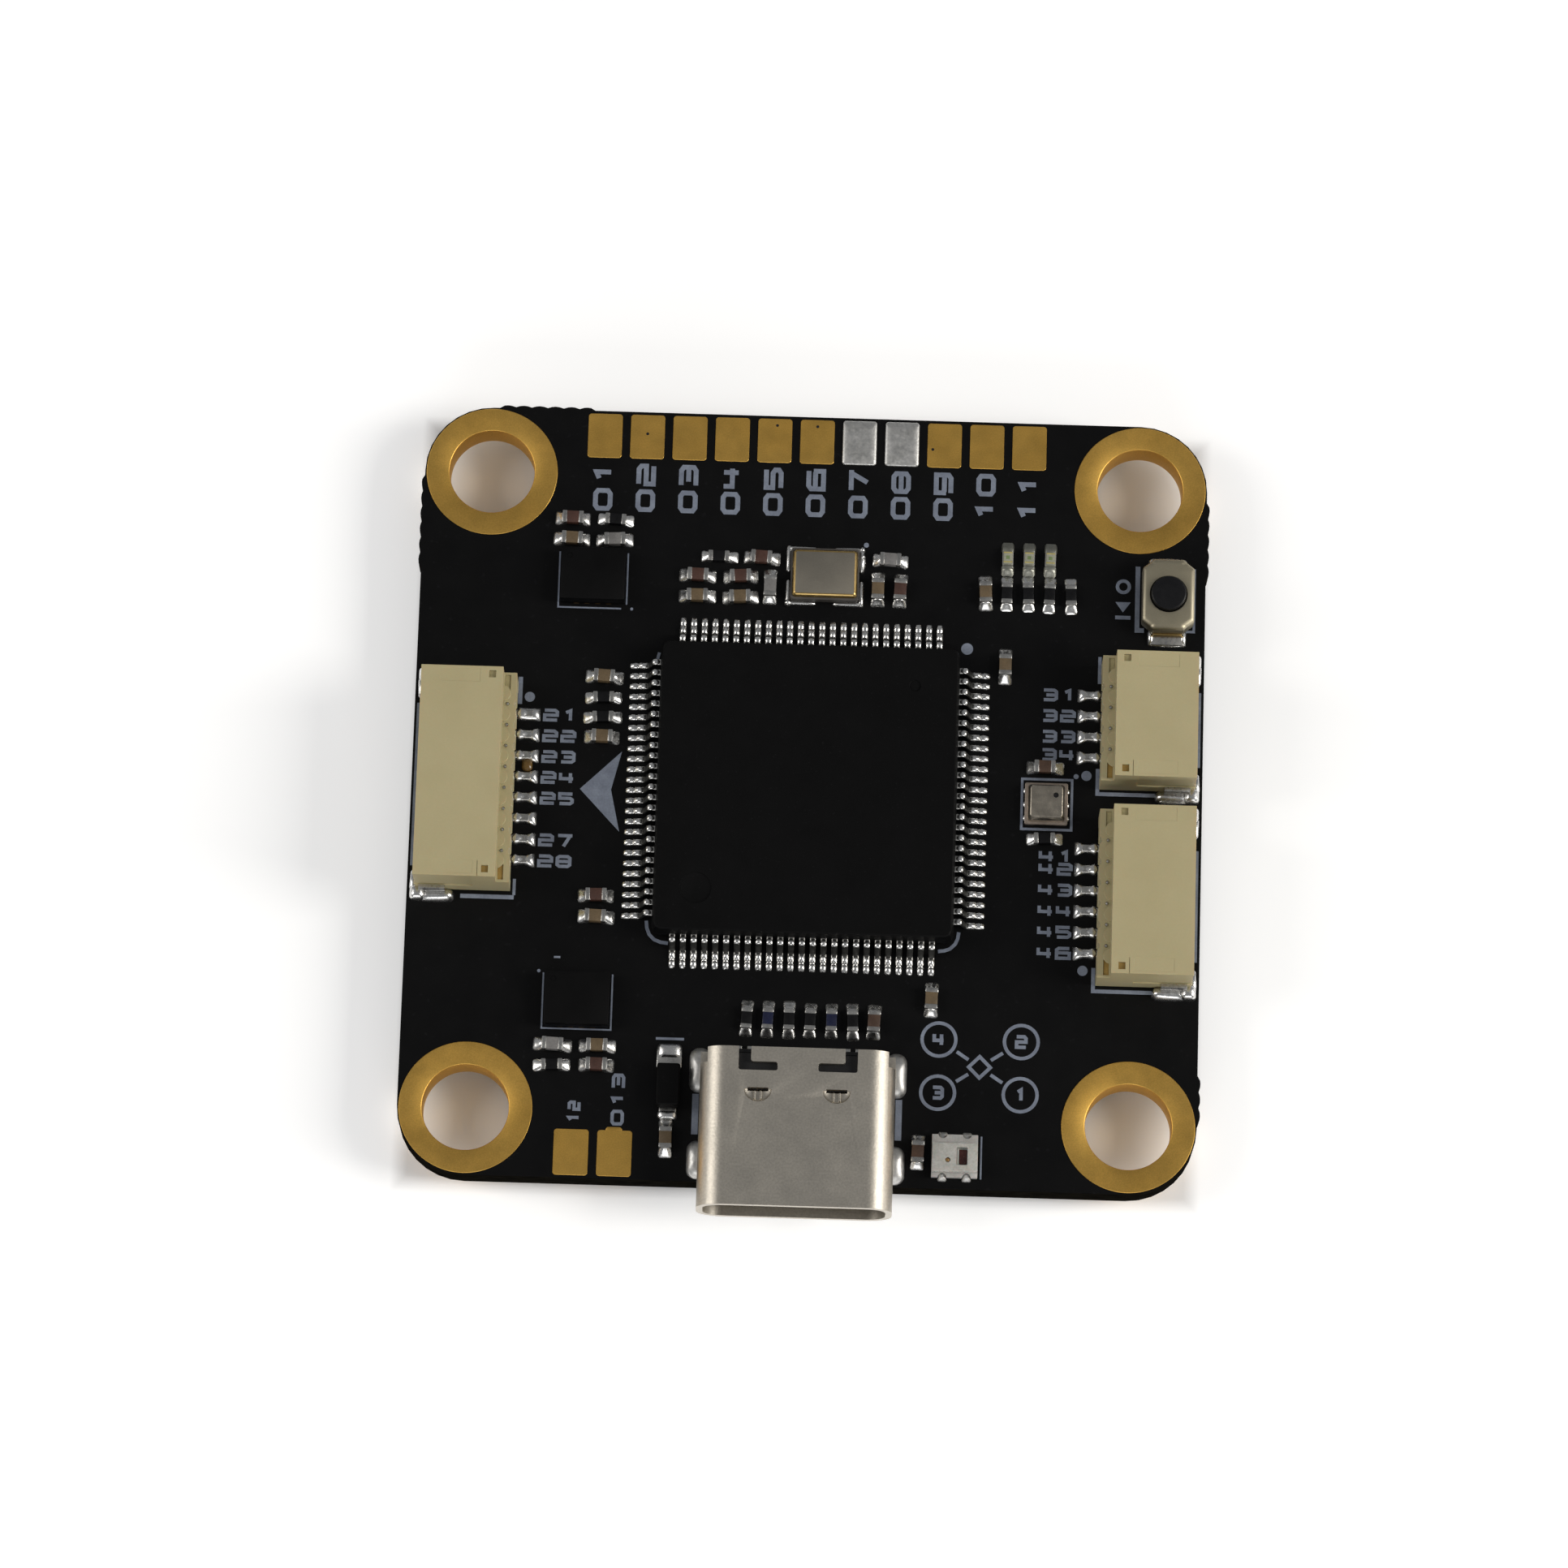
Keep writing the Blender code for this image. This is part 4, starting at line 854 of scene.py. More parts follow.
def motor_map(x, y):
    """A plain map of the four motors: a numbered ring in each corner, and the frame between them."""
    shapes = [stroke([(x + a, y + b) for a, b in ((0.5, 0), (0, 0.5), (-0.5, 0), (0, -0.5))], 0.16, True)]
    for number, side, rise in (("4", -1, 1), ("2", 1, 1), ("3", -1, -1), ("1", 1, -1)):
        cx = x + side * 1.9
        cy = y + rise * 1.25
        shapes.append(prism([circle(cx, cy, 0.86, 32), circle(cx, cy, 0.7, 32)], 0.0, INK_LIFT))
        shapes.append(label(number, cx - 0.3, cy, 0.66, wide=0.9))
        run = (Vector((cx, cy)) - Vector((x, y))).normalized()
        near = Vector((x, y)) + run * 0.62
        far = Vector((cx, cy)) - run * 1.0
        shapes.append(stroke((tuple(near), tuple(far)), 0.16))
    return shapes


def button_mark(x, y):
    """A plain press mark beside the button: a ring, and an arrow head pointing at a bar."""
    head = [(x - 0.36, y - 0.1), (x + 0.36, y - 0.1), (x, y - 0.6)]
    ring = [circle(x, y + 0.65, 0.36, 24), circle(x, y + 0.65, 0.2, 24)]
    bar = stroke(((x - 0.36, y - 0.85), (x + 0.36, y - 0.85)), 0.18)
    return [prism([head[::-1]], 0.0, INK_LIFT), prism(ring, 0.0, INK_LIFT), bar]


# ---- Small parts ----------------------------------------------------------------------------

PASSIVE_LENGTH = 1.0
TALL_PART = (0.5, 0.6)  # height and width of a capacitor
FLAT_PART = (0.35, 0.52)  # the same of a resistor
TERMINAL = 0.23
PASSIVES = {
    # look: (x, y, whether it stands along Y)
    "red_brown": (
        (-11.35, 13.05, 0), (-9.3, -13.1, 0), (-2.45, 11.4, 0), (-5.4, 10.45, 0), (-3.4, 10.45, 0),
        (4.1, 10.0, 1), (-9.6, -5.1, 0),
    ),
    "tan": (
        (-11.35, 12.05, 0), (-9.3, -12.2, 0), (-5.4, 9.45, 0), (-3.4, 9.45, 0), (3.05, 10.0, 1),
        (8.1, 10.0, 1), (9.1, 6.5, 1), (-9.6, 5.4, 0), (-9.6, 2.5, 0), (-9.6, -6.1, 0),
        (6.05, -9.55, 1), (-6.0, -16.45, 1),
    ),
    "brown": ((11.05, 1.65, 0), (3.43, -10.7, 1), (5.6, -16.75, 1)),
    "grey": ((-9.35, 12.05, 0), (-11.35, -12.2, 0), (-2.0, 10.0, 1), (3.6, 11.45, 0)),
    "film": (
        (-9.35, 13.05, 0), (-11.35, -13.15, 0), (-4.45, 11.4, 0), (9.1, 10.0, 1), (10.1, 10.0, 1),
        (11.1, 10.0, 1), (12.1, 10.0, 1), (-9.6, 4.4, 0), (-9.6, 3.45, 0), (11.1, -1.75, 0),
        (-2.45, -10.7, 1), (-0.49, -10.7, 1), (0.49, -10.7, 1), (2.45, -10.7, 1),
    ),
    "blue": ((-1.47, -10.7, 1), (1.47, -10.7, 1)),
}
FLAT_LOOKS = ("film", "blue")
# A chip part's solder: share of its reach past the end, share of its half width, share of its rise.
CHIP_JOINT = ((0.08, 0.95, 0.85), (0.35, 1.0, 0.56), (0.7, 1.0, 0.36), (0.92, 0.9, 0.17), (1.0, 0.62, 0.04))


def passive(height, width):
    """A chip capacitor or resistor along X: body, two terminals and two solder fillets."""
    half = PASSIVE_LENGTH / 2
    body = centred(PASSIVE_LENGTH - 0.1, width - 0.03, 0.05, height - 0.02, 0.03, 2)
    shapes = [tinted(body, 0)]
    for side in (-1, 1):
        across = (half, half - TERMINAL)
        shapes.append(tinted(slab(side, across, (-width / 2, width / 2), (0.03, height), 0.045, 2), 1))
        reach = CHANCE.uniform(0.32, 0.42)
        rise = height * CHANCE.uniform(0.7, 0.95)
        broad = width / 2 + 0.035
        sections = [(half - 0.14, broad * 0.9, rise * 0.95)]
        sections += [(half + reach * y, broad * share, rise * tall) for y, share, tall in CHIP_JOINT]
        shapes.append(tinted(placed(bead(sections, 10), turn=-90.0 * side), 2))
    return joined(shapes)


def make_passives(layout, prefix, underside=False):
    """The chip capacitors and resistors of one face."""
    count = 0
    for look, places in layout.items():
        height, width = FLAT_PART if look in FLAT_LOOKS else TALL_PART
        for x, y, upright in places:
            count += 1
            turn = 90.0 * upright + CHANCE.uniform(-3.0, 3.0)
            part = passive(height, width)
            piece(f"{prefix}_{count:02d}", part, f"{look} tin solder", at=(x, y, turn), underside=underside)


# ---- Microcontroller ------------------------------------------------------------------------

MCU_HALF = 7.0
MCU_TIP = 8.0
MCU_PAD_END = 8.42
MCU_JOINT = 0.31  # width of the solder on a lead
MCU_SIDE = (25, 0.5)  # leads on a side, and their pitch
MCU_MARKS = ((0.75, -5.0, -4.9), (0.28, 4.9, 5.05))  # radius and place of each mould mark
LEAD_SHEET = 0.13
LEAD_WIDTH = 0.28


def chip_body(width, length, bottom, top, corner, draft, edge=0.05):
    """A moulded body: tapered above and below its parting line, with cut corners."""
    middle = (bottom + top) / 2
    line = 0.02  # half the height of the parting line, and its inset
    levels = (
        (bottom, draft), (middle - line, line), (middle + line, line), (top - edge, draft),
        (top, draft + edge),
    )
    return stacked(levels, lambda inset: rounded(0.0, 0.0, width - 2 * inset, length - 2 * inset, corner, 2))


def gull_row(count, pitch, width, edge, exit_height, tip, knee=0.3, toe=0.5):
    """A row of gull-wing leads on the +Y side of a chip, with their bends in the second material, a dark tin
    as painted shade.
    """
    foot = LEAD_SHEET / 2 + 0.02
    path = ((edge - 0.3, exit_height), (edge + knee, exit_height), (tip - toe, foot), (tip, foot))
    shapes = []
    for x in spread(count, pitch):
        lead = bevelled(strip(eased(path, 0.13), LEAD_SHEET, width), 0.05, 3, 50.0)
        for face in lead.faces:
            y, z = face.calc_center_median().yz
            # the sloping bend takes the dark tin, painted shade
            bend = edge + knee - 0.02 < y < tip - toe + 0.14 and foot + 0.06 < z < exit_height
            face.material_index = 1 if bend else 0
        shapes.append(placed(lead, x))
    return joined(shapes)


# A solder joint over a gull-wing foot: distance past the tip, share of its half width, height.
FOOT_JOINT = (
    (-0.46, 0.8, 0.05),
    (-0.42, 1.0, 0.15),
    (-0.34, 1.04, 0.20),
    (-0.20, 1.06, 0.225),
    (-0.06, 1.0, 0.17),
    (0.01, 0.82, 0.08),
    (0.07, 0.96, 0.12),
    (0.16, 1.0, 0.14),
    (0.28, 0.95, 0.11),
)


def gull_joints(count, pitch, width, tip, pad_end):
    """The solder over each foot of a row, with a bead past its toe."""
    shapes = []
    for x in spread(count, pitch):
        swell = CHANCE.uniform(0.9, 1.08)
        sections = [(tip + y, width / 2 * share, height * swell) for y, share, height in FOOT_JOINT]
        sections += [(pad_end - 0.05, width * 0.4, 0.05), (pad_end, width * 0.3, 0.012)]
        shapes.append(placed(bead(sections), x))
    return joined(shapes)


# The rounded crown of a tinned lead's shoulder: distance from the body, half width, height.
CROWN = ((0.0, 0.07, 0.02), (0.08, 0.115, 0.055), (0.2, 0.145, 0.09), (0.3, 0.14, 0.075), (0.37, 0.1, 0.02))


def lead_crowns(count, pitch, edge, height):
    """The crowns of a row of leads, on the +Y side of a chip."""
    sections = [(edge + y, half, rise) for y, half, rise in CROWN]
    return joined([placed(bead(sections), x, z=height) for x in spread(count, pitch)])


def make_mcu():
    """The 100-lead chip: moulded body with two mould marks, leads, and their solder."""
    low, high = node_box("mcu_body")
    body = chip_body(2 * MCU_HALF, 2 * MCU_HALF, low.z, high.z, 0.3, 0.12)
    marks = []
    for radius, x, y in MCU_MARKS:
        floor = high.z - 0.06
        mark = lathe(((radius * 0.93, floor), (radius, floor + 0.015), (radius, high.z + 0.5)), steps=40)
        marks.append(placed(mark, x, y))
    piece("mcu_package", carved(body, *marks), "epoxy", "mcu_body", sharp=25.0)
    height = (low.z + high.z) / 2
    for name, turn in (("rear", 0.0), ("left", 90.0), ("front", 180.0), ("right", 270.0)):
        leads = gull_row(*MCU_SIDE, LEAD_WIDTH, MCU_HALF, height, MCU_TIP)
        piece(f"mcu_pins_{name}", leads, "tin shaded_tin", f"mcu_leads_{name}", at=(0.0, 0.0, turn))
        crowns = lead_crowns(*MCU_SIDE, MCU_HALF, height + LEAD_SHEET / 2 - 0.02)
        joints = gull_joints(*MCU_SIDE, MCU_JOINT, MCU_TIP, MCU_PAD_END)
        piece(f"mcu_solder_{name}", [joints, crowns], "solder", at=(0.0, 0.0, turn))


# ---- Sensors, crystal, diode and lamps ------------------------------------------------------


CRYSTAL_CORNERS = (  # the corner's sides, height of its solder, how far that bulges
    (-1, 1, 0.16, 0.0), (1, 1, 0.3, 0.1), (-1, -1, 0.14, 0.0), (1, -1, 0.2, 0.03),
)
CRYSTAL_EDGE = (  # the solder along a long side: place, half width, height
    (0.4, 0.04, 0.02), (0.48, 0.1, 0.09), (0.9, 0.11, 0.12), (1.4, 0.12, 0.14), (1.78, 0.11, 0.12),
    (1.84, 0.06, 0.02),
)
CRYSTAL_BLOBS = (  # place, radius, height
    (-1.7, -1.36, 0.17, 0.3), (1.73, 0.95, 0.16, 0.36), (1.72, 1.3, 0.15, 0.26),
)
LAMP_FILLET = (  # the solder at a status lamp's end: place, half width, height
    (0.36, 0.3, 0.26), (0.5, 0.3, 0.25), (0.62, 0.3, 0.16), (0.74, 0.28, 0.08), (0.82, 0.22, 0.02),
)
LAMP_PIT = (-0.32, -0.28)  # place of the colour lamp's small round pit
VENT = (0.43, 0.3)  # place of the hole in the pressure sensor's lid


def make_gyros():
    """Two land-grid motion sensors, nearly black, with a corner dot and copper-edged sides."""
    for i in (1, 2):
        low, high = node_box(f"gyro_{i}")
        width, length = high.x - low.x, high.y - low.y
        dimple = prism([circle(-width / 2 + 0.4, length / 2 - 0.4, 0.14, 20)], high.z - 0.03, high.z + 0.2)
        body = carved(tinted(centred(width, length, 0.12, high.z, 0.04, 2), 0), dimple)
        shapes = [body, tinted(centred(width - 0.04, length - 0.04, 0.01, 0.12, 0.01), 1)]
        for side in (-1, 1):
            for x in spread(4, 0.5):
                y = side * length / 2
                shapes.append(tinted(block((x - 0.12, y - 0.02, 0.02), (x + 0.12, y + 0.02, 0.08), 0.01), 2))
        middle = (low + high) / 2
        piece(f"motion_sensor_{i}", shapes, "sensor sensor dark_copper", f"gyro_{i}", at=middle.xy)


def split_looks(bm, top):
    """Gives a shape's flat top the first material and its sides the second."""
    for face in bm.faces:
        flat = face.calc_center_median().z > top - 0.004 and face.normal.z > 0.8
        face.material_index = 0 if flat else 1
    return bm


def make_crystal():
    """The crystal: ceramic base, gold-rimmed lid, and solder along its four corner pads."""
    low, high = node_box("crystal_base")
    at = ((low + high) / 2).xy
    width, length = high.x - low.x, high.y - low.y
    base = bevelled(prism([rounded(0, 0, width, length, 0.14)], 0.02, high.z), 0.03, 1)
    piece("crystal_package", base, "base_ceramic", "crystal_base", at=at)
    bottom, top = (corner.z for corner in node_box("crystal_lid"))
    levels = ((bottom, 0.0), (bottom + 0.04, 0.0), (top - 0.07, 0.05), (top - 0.015, 0.11), (top, 0.15))
    lid = stacked(
        levels,
        lambda inset: rounded(
            0, 0, width - 0.15 - 2 * inset, length - 0.2 - 2 * inset, 0.18 - inset * 0.7, 5
        ),
    )
    piece("crystal_cap", split_looks(lid, top), "lid rim_gold", "crystal_lid", at=at)
    solder = []
    for sx, sy, tall, bulge in CRYSTAL_CORNERS:
        end = bead((
            (0.18, 0.05, 0.02), (0.26, 0.11, tall * 0.7), (0.7, 0.13 + bulge, tall), (1.2, 0.13, tall),
            (1.42, 0.12, tall * 0.8), (1.47, 0.06, 0.02),
        ))
        for shape in (placed(end, 1.71), placed(bead(CRYSTAL_EDGE), 0.0, 1.32, -90.0)):
            bmesh.ops.scale(shape, vec=(sx, sy, 1.0), verts=shape.verts)
            if sx * sy < 0:
                bmesh.ops.reverse_faces(shape, faces=shape.faces)
            solder.append(shape)
    for x, y, radius, tall in CRYSTAL_BLOBS:
        heap = ((1, 0.05), (0.9, tall * 0.7), (0.5, tall), (0.1, tall + 0.02))
        solder.append(mound(circle(x, y, radius, 16), heap))
    piece("crystal_solder", solder, "solder", at=at)


def make_barometer():
    """The pressure sensor: metal-edged base, vented lid with sloping shoulders, a black disc as painted
    shadow inside the vent, and tiny joints.
    """
    low, high = node_box("barometer_base")
    at = ((low + high) / 2).xy
    size = high.x - low.x
    base = bevelled(prism([rounded(0, 0, size, size, 0.08)], 0.02, high.z), 0.025, 2)
    low, high = node_box("barometer_lid")
    width, length = high.x - low.x, high.y - low.y
    levels = (  # height, inset, corner
        (low.z, 0.0, 0.16), (low.z + 0.1, 0.0, 0.16), (high.z - 0.2, 0.04, 0.15), (high.z - 0.06, 0.1, 0.13),
        (high.z - 0.015, 0.13, 0.12), (high.z, 0.16, 0.1),
    )
    lid = stacked(
        levels,
        lambda inset, corner: rounded(0, 0, width - 2 * inset, length - 2 * inset, corner, 5),
    )
    lid = carved(lid, prism([circle(*VENT, 0.125, 20)], high.z - 0.3, high.z + 0.3))
    piece("barometer_cap", lid, "beige_metal", "barometer_lid", at=at, sharp=25.0)
    # painted shadow: a black disc down in the lid's vent hole
    shade = prism([circle(*VENT, 0.12, 20)], high.z - 0.28, high.z - 0.06)
    piece("barometer_vent_shadow", shade, "black", at=at, slot="black_epoxy")
    piece("barometer_body", base, "base_metal", "barometer_base", at=at)
    joints = []
    for side in (-1, 1):
        for x in spread(3, 0.65):
            joint = bead(((0.9, 0.12, 0.06), (1.0, 0.12, 0.06), (1.08, 0.1, 0.02)), 6)
            joints.append(placed(placed(joint, x), turn=90.0 * side))
    piece("barometer_solder", joints, "solder", at=at)


def make_diode():
    """The protection diode with its two flat terminals and their solder."""
    body_low, body_high = node_box("diode_body")
    width, length = body_high.x - body_low.x, body_high.y - body_low.y
    body = chip_body(width, length, body_low.z, body_high.z, 0.08, 0.05, 0.04)
    piece("diode_package", body, "epoxy", "diode_body", at=((body_low + body_high) / 2).xy)
    for node, along, length, width, height in (
        ("diode_cathode", 0.06, 0.7, 1.15, 0.26),
        ("diode_anode", -0.02, 0.42, 0.95, 0.22),
    ):
        low, high = node_box(node)
        x = (low.x + high.x) / 2
        y = (high.y if along > 0 else low.y) + along - math.copysign(length / 2 - 0.24, along)
        if along > 0:
            low.y = body_high.y - 0.1
        else:
            high.y = body_low.y + 0.1
        piece(f"{node}_tab", block(low, high, 0.04, 2), "tin", node)
        heap = (
            (1.0, 0.0), (0.98, 0.07), (0.9, 0.17), (0.72, height), (0.4, height + 0.04), (0.1, height + 0.05),
        )
        piece(f"{node}_solder", mound(rounded(x, y, width, length, 0.16), heap), "solder")


def make_lamps():
    """The colour lamp on its notched laminate, and the three status lamps."""
    low, high = node_box("rgb_lamp_body")
    at = ((low + high) / 2).xy
    half = (high.x - low.x - 0.08) / 2
    top = high.z
    notches = [prism([circle(x, y, 0.2, 20)], -1.0, 1.0) for y in (-1.0, 1.0) for x in (-0.56, 0.56)]
    base = carved(block((-half, -1.0, 0.02), (half, 1.0, 0.36), 0.03, 2), *notches)
    resin = block((-half + 0.01, -0.8, 0.36), (half - 0.01, 0.52, top), 0.04, 2)
    well = prism([rounded(0.33, -0.1, 0.5, 0.84, 0.06)], top - 0.26, top + 0.5)
    pit = prism([circle(*LAMP_PIT, 0.12, 16)], top - 0.1, top + 0.5)
    case = [tinted(base, 0), tinted(carved(resin, well, pit), 1)]
    piece("rgb_lamp_case", case, "white milky", "rgb_lamp_body", at=at)
    die = block((0.2, -0.44, top - 0.27), (0.56, 0.24, top - 0.2), 0.02)
    ledge = block((0.09, -0.5, top - 0.27), (0.19, 0.3, top - 0.14), 0.02)
    spark = mound(circle(*LAMP_PIT, 0.115, 14), ((1.0, top - 0.11), (0.7, top - 0.05), (0.2, top - 0.03)))
    chips = [tinted(die, 0), tinted(ledge, 2), tinted(spark, 1)]
    piece("rgb_lamp_die", chips, "die_red copper milky", "rgb_lamp_lens", at=at)
    feet = []
    for turn in (180.0, 0.0):
        for x in (-0.56, 0.56):
            tall = CHANCE.uniform(0.16, 0.24)
            foot = (
                (0.84, 0.17, tall), (1.0, 0.19, tall), (1.06, 0.22, tall * 0.7), (1.12, 0.2, 0.08),
                (1.16, 0.16, 0.02),
            )
            feet.append(placed(placed(bead(foot), x), turn=turn))
    piece("rgb_lamp_solder", feet, "dull_solder", at=at)
    for i in (1, 2, 3):
        make_status_lamp(i)


def make_status_lamp(i):
    """A status lamp: laminate base, lens with its die showing, yellow ends, and two terminals that, with
    their solder, are in a darker steel as painted shade.
    """
    low, high = node_box(f"status_lamp_{i}")
    top = high.z
    levels = ((top - 0.17, 0.0), (top - 0.05, 0.0), (top - 0.012, 0.02), (top, 0.05))
    lens = stacked(levels, lambda inset: rounded(0, 0, 0.44 - 2 * inset, 0.6 - 2 * inset, 0.05))
    shapes = [tinted(centred(0.5, 1.0, 0.03, top - 0.16, 0.02), 0), tinted(lens, 1)]
    for y in (-0.25, 0.2):
        shapes.append(tinted(block((-0.205, y, top - 0.12), (0.205, y + 0.07, top + 0.004), 0.01), 2))
    shapes.append(tinted(block((-0.09, -0.08, top - 0.02), (0.08, 0.09, top + 0.004), 0.003), 3))
    for side in (-1, 1):
        ends = sorted((side * 0.5, side * 0.31))
        shapes.append(tinted(block((-0.25, ends[0], 0.03), (0.25, ends[1], top - 0.14), 0.03, 2), 4))
        shapes.append(tinted(placed(bead(LAMP_FILLET), turn=0.0 if side > 0 else 180.0), 5))
    at = (*((low + high) / 2).xy, CHANCE.uniform(-2.0, 2.0))
    looks = "alumina pearl yellow green shaded_steel shaded_steel"
    piece(f"status_light_{i}", shapes, looks, f"status_lamp_{i}", at=at)


# ---- Boot button ----------------------------------------------------------------------------

BUTTON_PLACE = (16.62, 9.93)
BUTTON_SHOULDER = 1.32
BUTTON_NOTCH = 1.56
BUTTON_NECK = 0.82
BUTTON_ROLL = 0.2  # radius of the cover's rolled edge
END_BEAD = (  # solder along a terminal's end: place, half width, height
    (-0.8, 0.06, 0.02), (-0.72, 0.2, 0.12), (0.0, 0.22, 0.15), (0.72, 0.2, 0.14), (0.8, 0.06, 0.02),
)
SIDE_BEAD = (  # solder along a terminal's side
    (-0.42, 0.04, 0.02), (-0.35, 0.13, 0.15), (0.0, 0.15, 0.24), (0.3, 0.16, 0.24), (0.4, 0.06, 0.02),
)
BUTTON_ENDS = (  # name, side, places of its end bead and of its side beads
    ("rear", 1, 1.84, 1.6),
    ("front", -1, 2.06, 1.84),
)


def button_outline(node, neck, inset=0.0):
    """A node's plan in the button: a wide middle with a neck at each end, drawn in by an inset."""
    low, high = node_box(node)
    half_width = (high.x - low.x) / 2 - inset
    half_length = (high.y - low.y) / 2 - inset
    neck -= inset
    quarter = [
        (half_width, BUTTON_SHOULDER - 0.08 - inset),
        (half_width - 0.04, BUTTON_SHOULDER - inset),
        (neck + 0.05, BUTTON_NOTCH - inset),
        (neck, BUTTON_NOTCH + 0.05 - inset),
        (neck, half_length - 0.1),
        (neck - 0.1, half_length),
    ]
    points = quarter + [(-x, y) for x, y in reversed(quarter)]
    return points + [(-x, -y) for x, y in points]


def make_button():
    """The boot button: steel cover with rolled edges, black plunger, base, dome and terminals."""
    x, y = BUTTON_PLACE
    low, high = node_box("button_cover")
    levels = [(low.z, 0.0), (high.z - BUTTON_ROLL, 0.0)]
    for side, rise in arc((BUTTON_ROLL, high.z - BUTTON_ROLL), BUTTON_ROLL, 180.0, 90.0, 4)[1:]:
        levels.append((rise, side))
    cover = stacked(levels, lambda inset: button_outline("button_cover", BUTTON_NECK, inset))
    hollow = prism([button_outline("button_cover", BUTTON_NECK, 0.12)], low.z - 0.5, high.z - 0.13)
    bore = lathe(((0.86, low.z - 1.0), (0.86, high.z - 0.03), (0.89, high.z), (0.89, high.z + 1.0)))
    piece("button_shield", carved(cover, hollow, bore), "cover", "button_cover", at=BUTTON_PLACE, sharp=40.0)
    low, high = node_box("button_base")
    base = prism([button_outline("button_base", BUTTON_NECK - 0.15)], low.z, high.z)
    base = carved(base, lathe(((1.0, 0.34), (1.0, 3.0))))
    piece("button_body", base, "black", "button_base", at=BUTTON_PLACE)
    low, high = node_box("button_plunger")
    top = high.z
    profile = [(0.30, low.z + 0.07), (0.30, low.z + 0.2), (0.92, low.z + 0.21), (0.92, top - 0.4)]
    profile += [(0.82, top - 0.39)] + arc((0.74, top - 0.08), 0.08, 0.0, 90.0, 4)
    profile += [(0.3, top - 0.012), (0.02, top - 0.02)]
    piece("button_cap", lathe(profile), "rubber_black", "button_plunger", at=BUTTON_PLACE, body="button")
    make_snap_dome(x, y)
    for name, side, end_place, side_place in BUTTON_ENDS:
        node = f"button_terminal_{name}"
        piece(f"button_foot_{name}", block(*node_box(node), 0.05, 2), "tin", node)
        fold_y = y + side * 1.76
        fold = block((x - 0.68, fold_y - 0.06, 0.16), (x + 0.68, fold_y + 0.06, 0.5), 0.05, 2)
        piece(f"button_fold_{name}", fold, "rim_gold", slot="tinned_metal")
        beads = [placed(bead(END_BEAD), x, y + side * end_place, 90.0)]
        beads += [placed(bead(SIDE_BEAD), x + edge, y + side * side_place) for edge in (-0.76, 0.76)]
        piece(f"button_solder_{name}", beads, "solder")


def make_snap_dome(x, y):
    """The steel dome under the plunger, drawn at rest; the real one flattens as the plunger comes down."""
    low, high = node_box("button_dome")
    shares = [k / 10 for k in range(10, 0, -1)] + [0.02]
    sides = []
    for sheet in (0.04, 0.0):
        radius = (high.x - low.x) / 2 - sheet
        crown = high.z - low.z - sheet
        sides.append([(radius * share, low.z + crown * (1.0 - share**2)) for share in shares])
    dome = lathe(sides[0][::-1] + sides[1])
    spring = piece("button_spring", dome, "tin", "button_dome", at=(x, y), slot="nickel_steel")
    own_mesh(spring)


# ---- Wire sockets ---------------------------------------------------------------------------

SOCKETS = (
    ("socket_8_way", 8, (-18.0, 0.0), -90.0),
    ("socket_4_way", 4, (18.0, 3.7), 90.0),
    ("socket_6_way", 6, (18.0, -4.65), 90.0),
)
SOCKET_TOP = 2.9
SOCKET_STEP = 1.84
SOCKET_LOBE = 0.11  # height of the rounded lobes on the step
SOCKET_BACK = 3.8
SOCKET_REAR = 4.4
SOCKET_FLOOR = 0.05


def socket_housing(ways, near_end):
    """The moulded housing in its own frame: X along the row, Y from the mouth to the tails."""
    row = ways - 1.0
    half = (row + 3.0) / 2
    body = block((-half, 0.0, SOCKET_FLOOR), (half, SOCKET_BACK, SOCKET_TOP), 0.0)
    step = block((-half, 1.0, SOCKET_FLOOR), (half, SOCKET_REAR, SOCKET_STEP), 0.0)
    rims = [circle(x, 3.78, 0.36, 24) for x in spread(ways + 1, 1.0)]
    lobes = prism(rims, 1.0, SOCKET_STEP + SOCKET_LOBE)
    body = carved(body, step, lobes, operation="UNION")
    mouth = (row + 1.5) / 2
    tools = [
        block((-mouth, -1.0, 0.55), (mouth, 2.95, 2.35), 0.0),
        block((-mouth - 0.25, 2.6, -1.0), (mouth + 0.25, 6.0, 0.32), 0.0),
    ]
    for side in (-1, 1):
        tools.append(slab(side, (mouth - 0.7, mouth - 0.2), (-1.0, 1.9), (2.0, 2.62)))
        x = side * (half - 0.36)
        tools.append(block((x - 0.17, 3.15, SOCKET_TOP - 0.22), (x + 0.17, 3.47, SOCKET_TOP + 1.0), 0.0))
        over = SOCKET_TOP + 1.0
        tools.append(slab(side, (half - 0.75, half - 0.12), (0.9, 2.75), (SOCKET_TOP - 0.012, over)))
        step_cut = (SOCKET_STEP - 0.1, SOCKET_STEP + 0.04)
        tools.append(slab(side, (half - 0.85, half - 0.12), (3.86, 4.12), step_cut))
        if side == near_end:
            tools.append(slab(side, (half - 0.75, half + 1.0), (2.95, 2.98), (SOCKET_TOP - 0.05, over)))
        tools.append(slab(side, (half - 0.05, half + 1.0), (-1.0, 2.7), (0.9, SOCKET_TOP - 0.12)))
    for x in spread(ways, 1.0):
        tools.append(prism([circle(x, 4.0, 0.085, 14)], SOCKET_STEP - 0.12, SOCKET_STEP + 0.5))
        tools.append(prism([circle(x, SOCKET_REAR + 0.13, 0.24, 14)], -1.0, SOCKET_STEP + 0.5))
    return bevelled(carved(body, *tools), 0.03, 2)


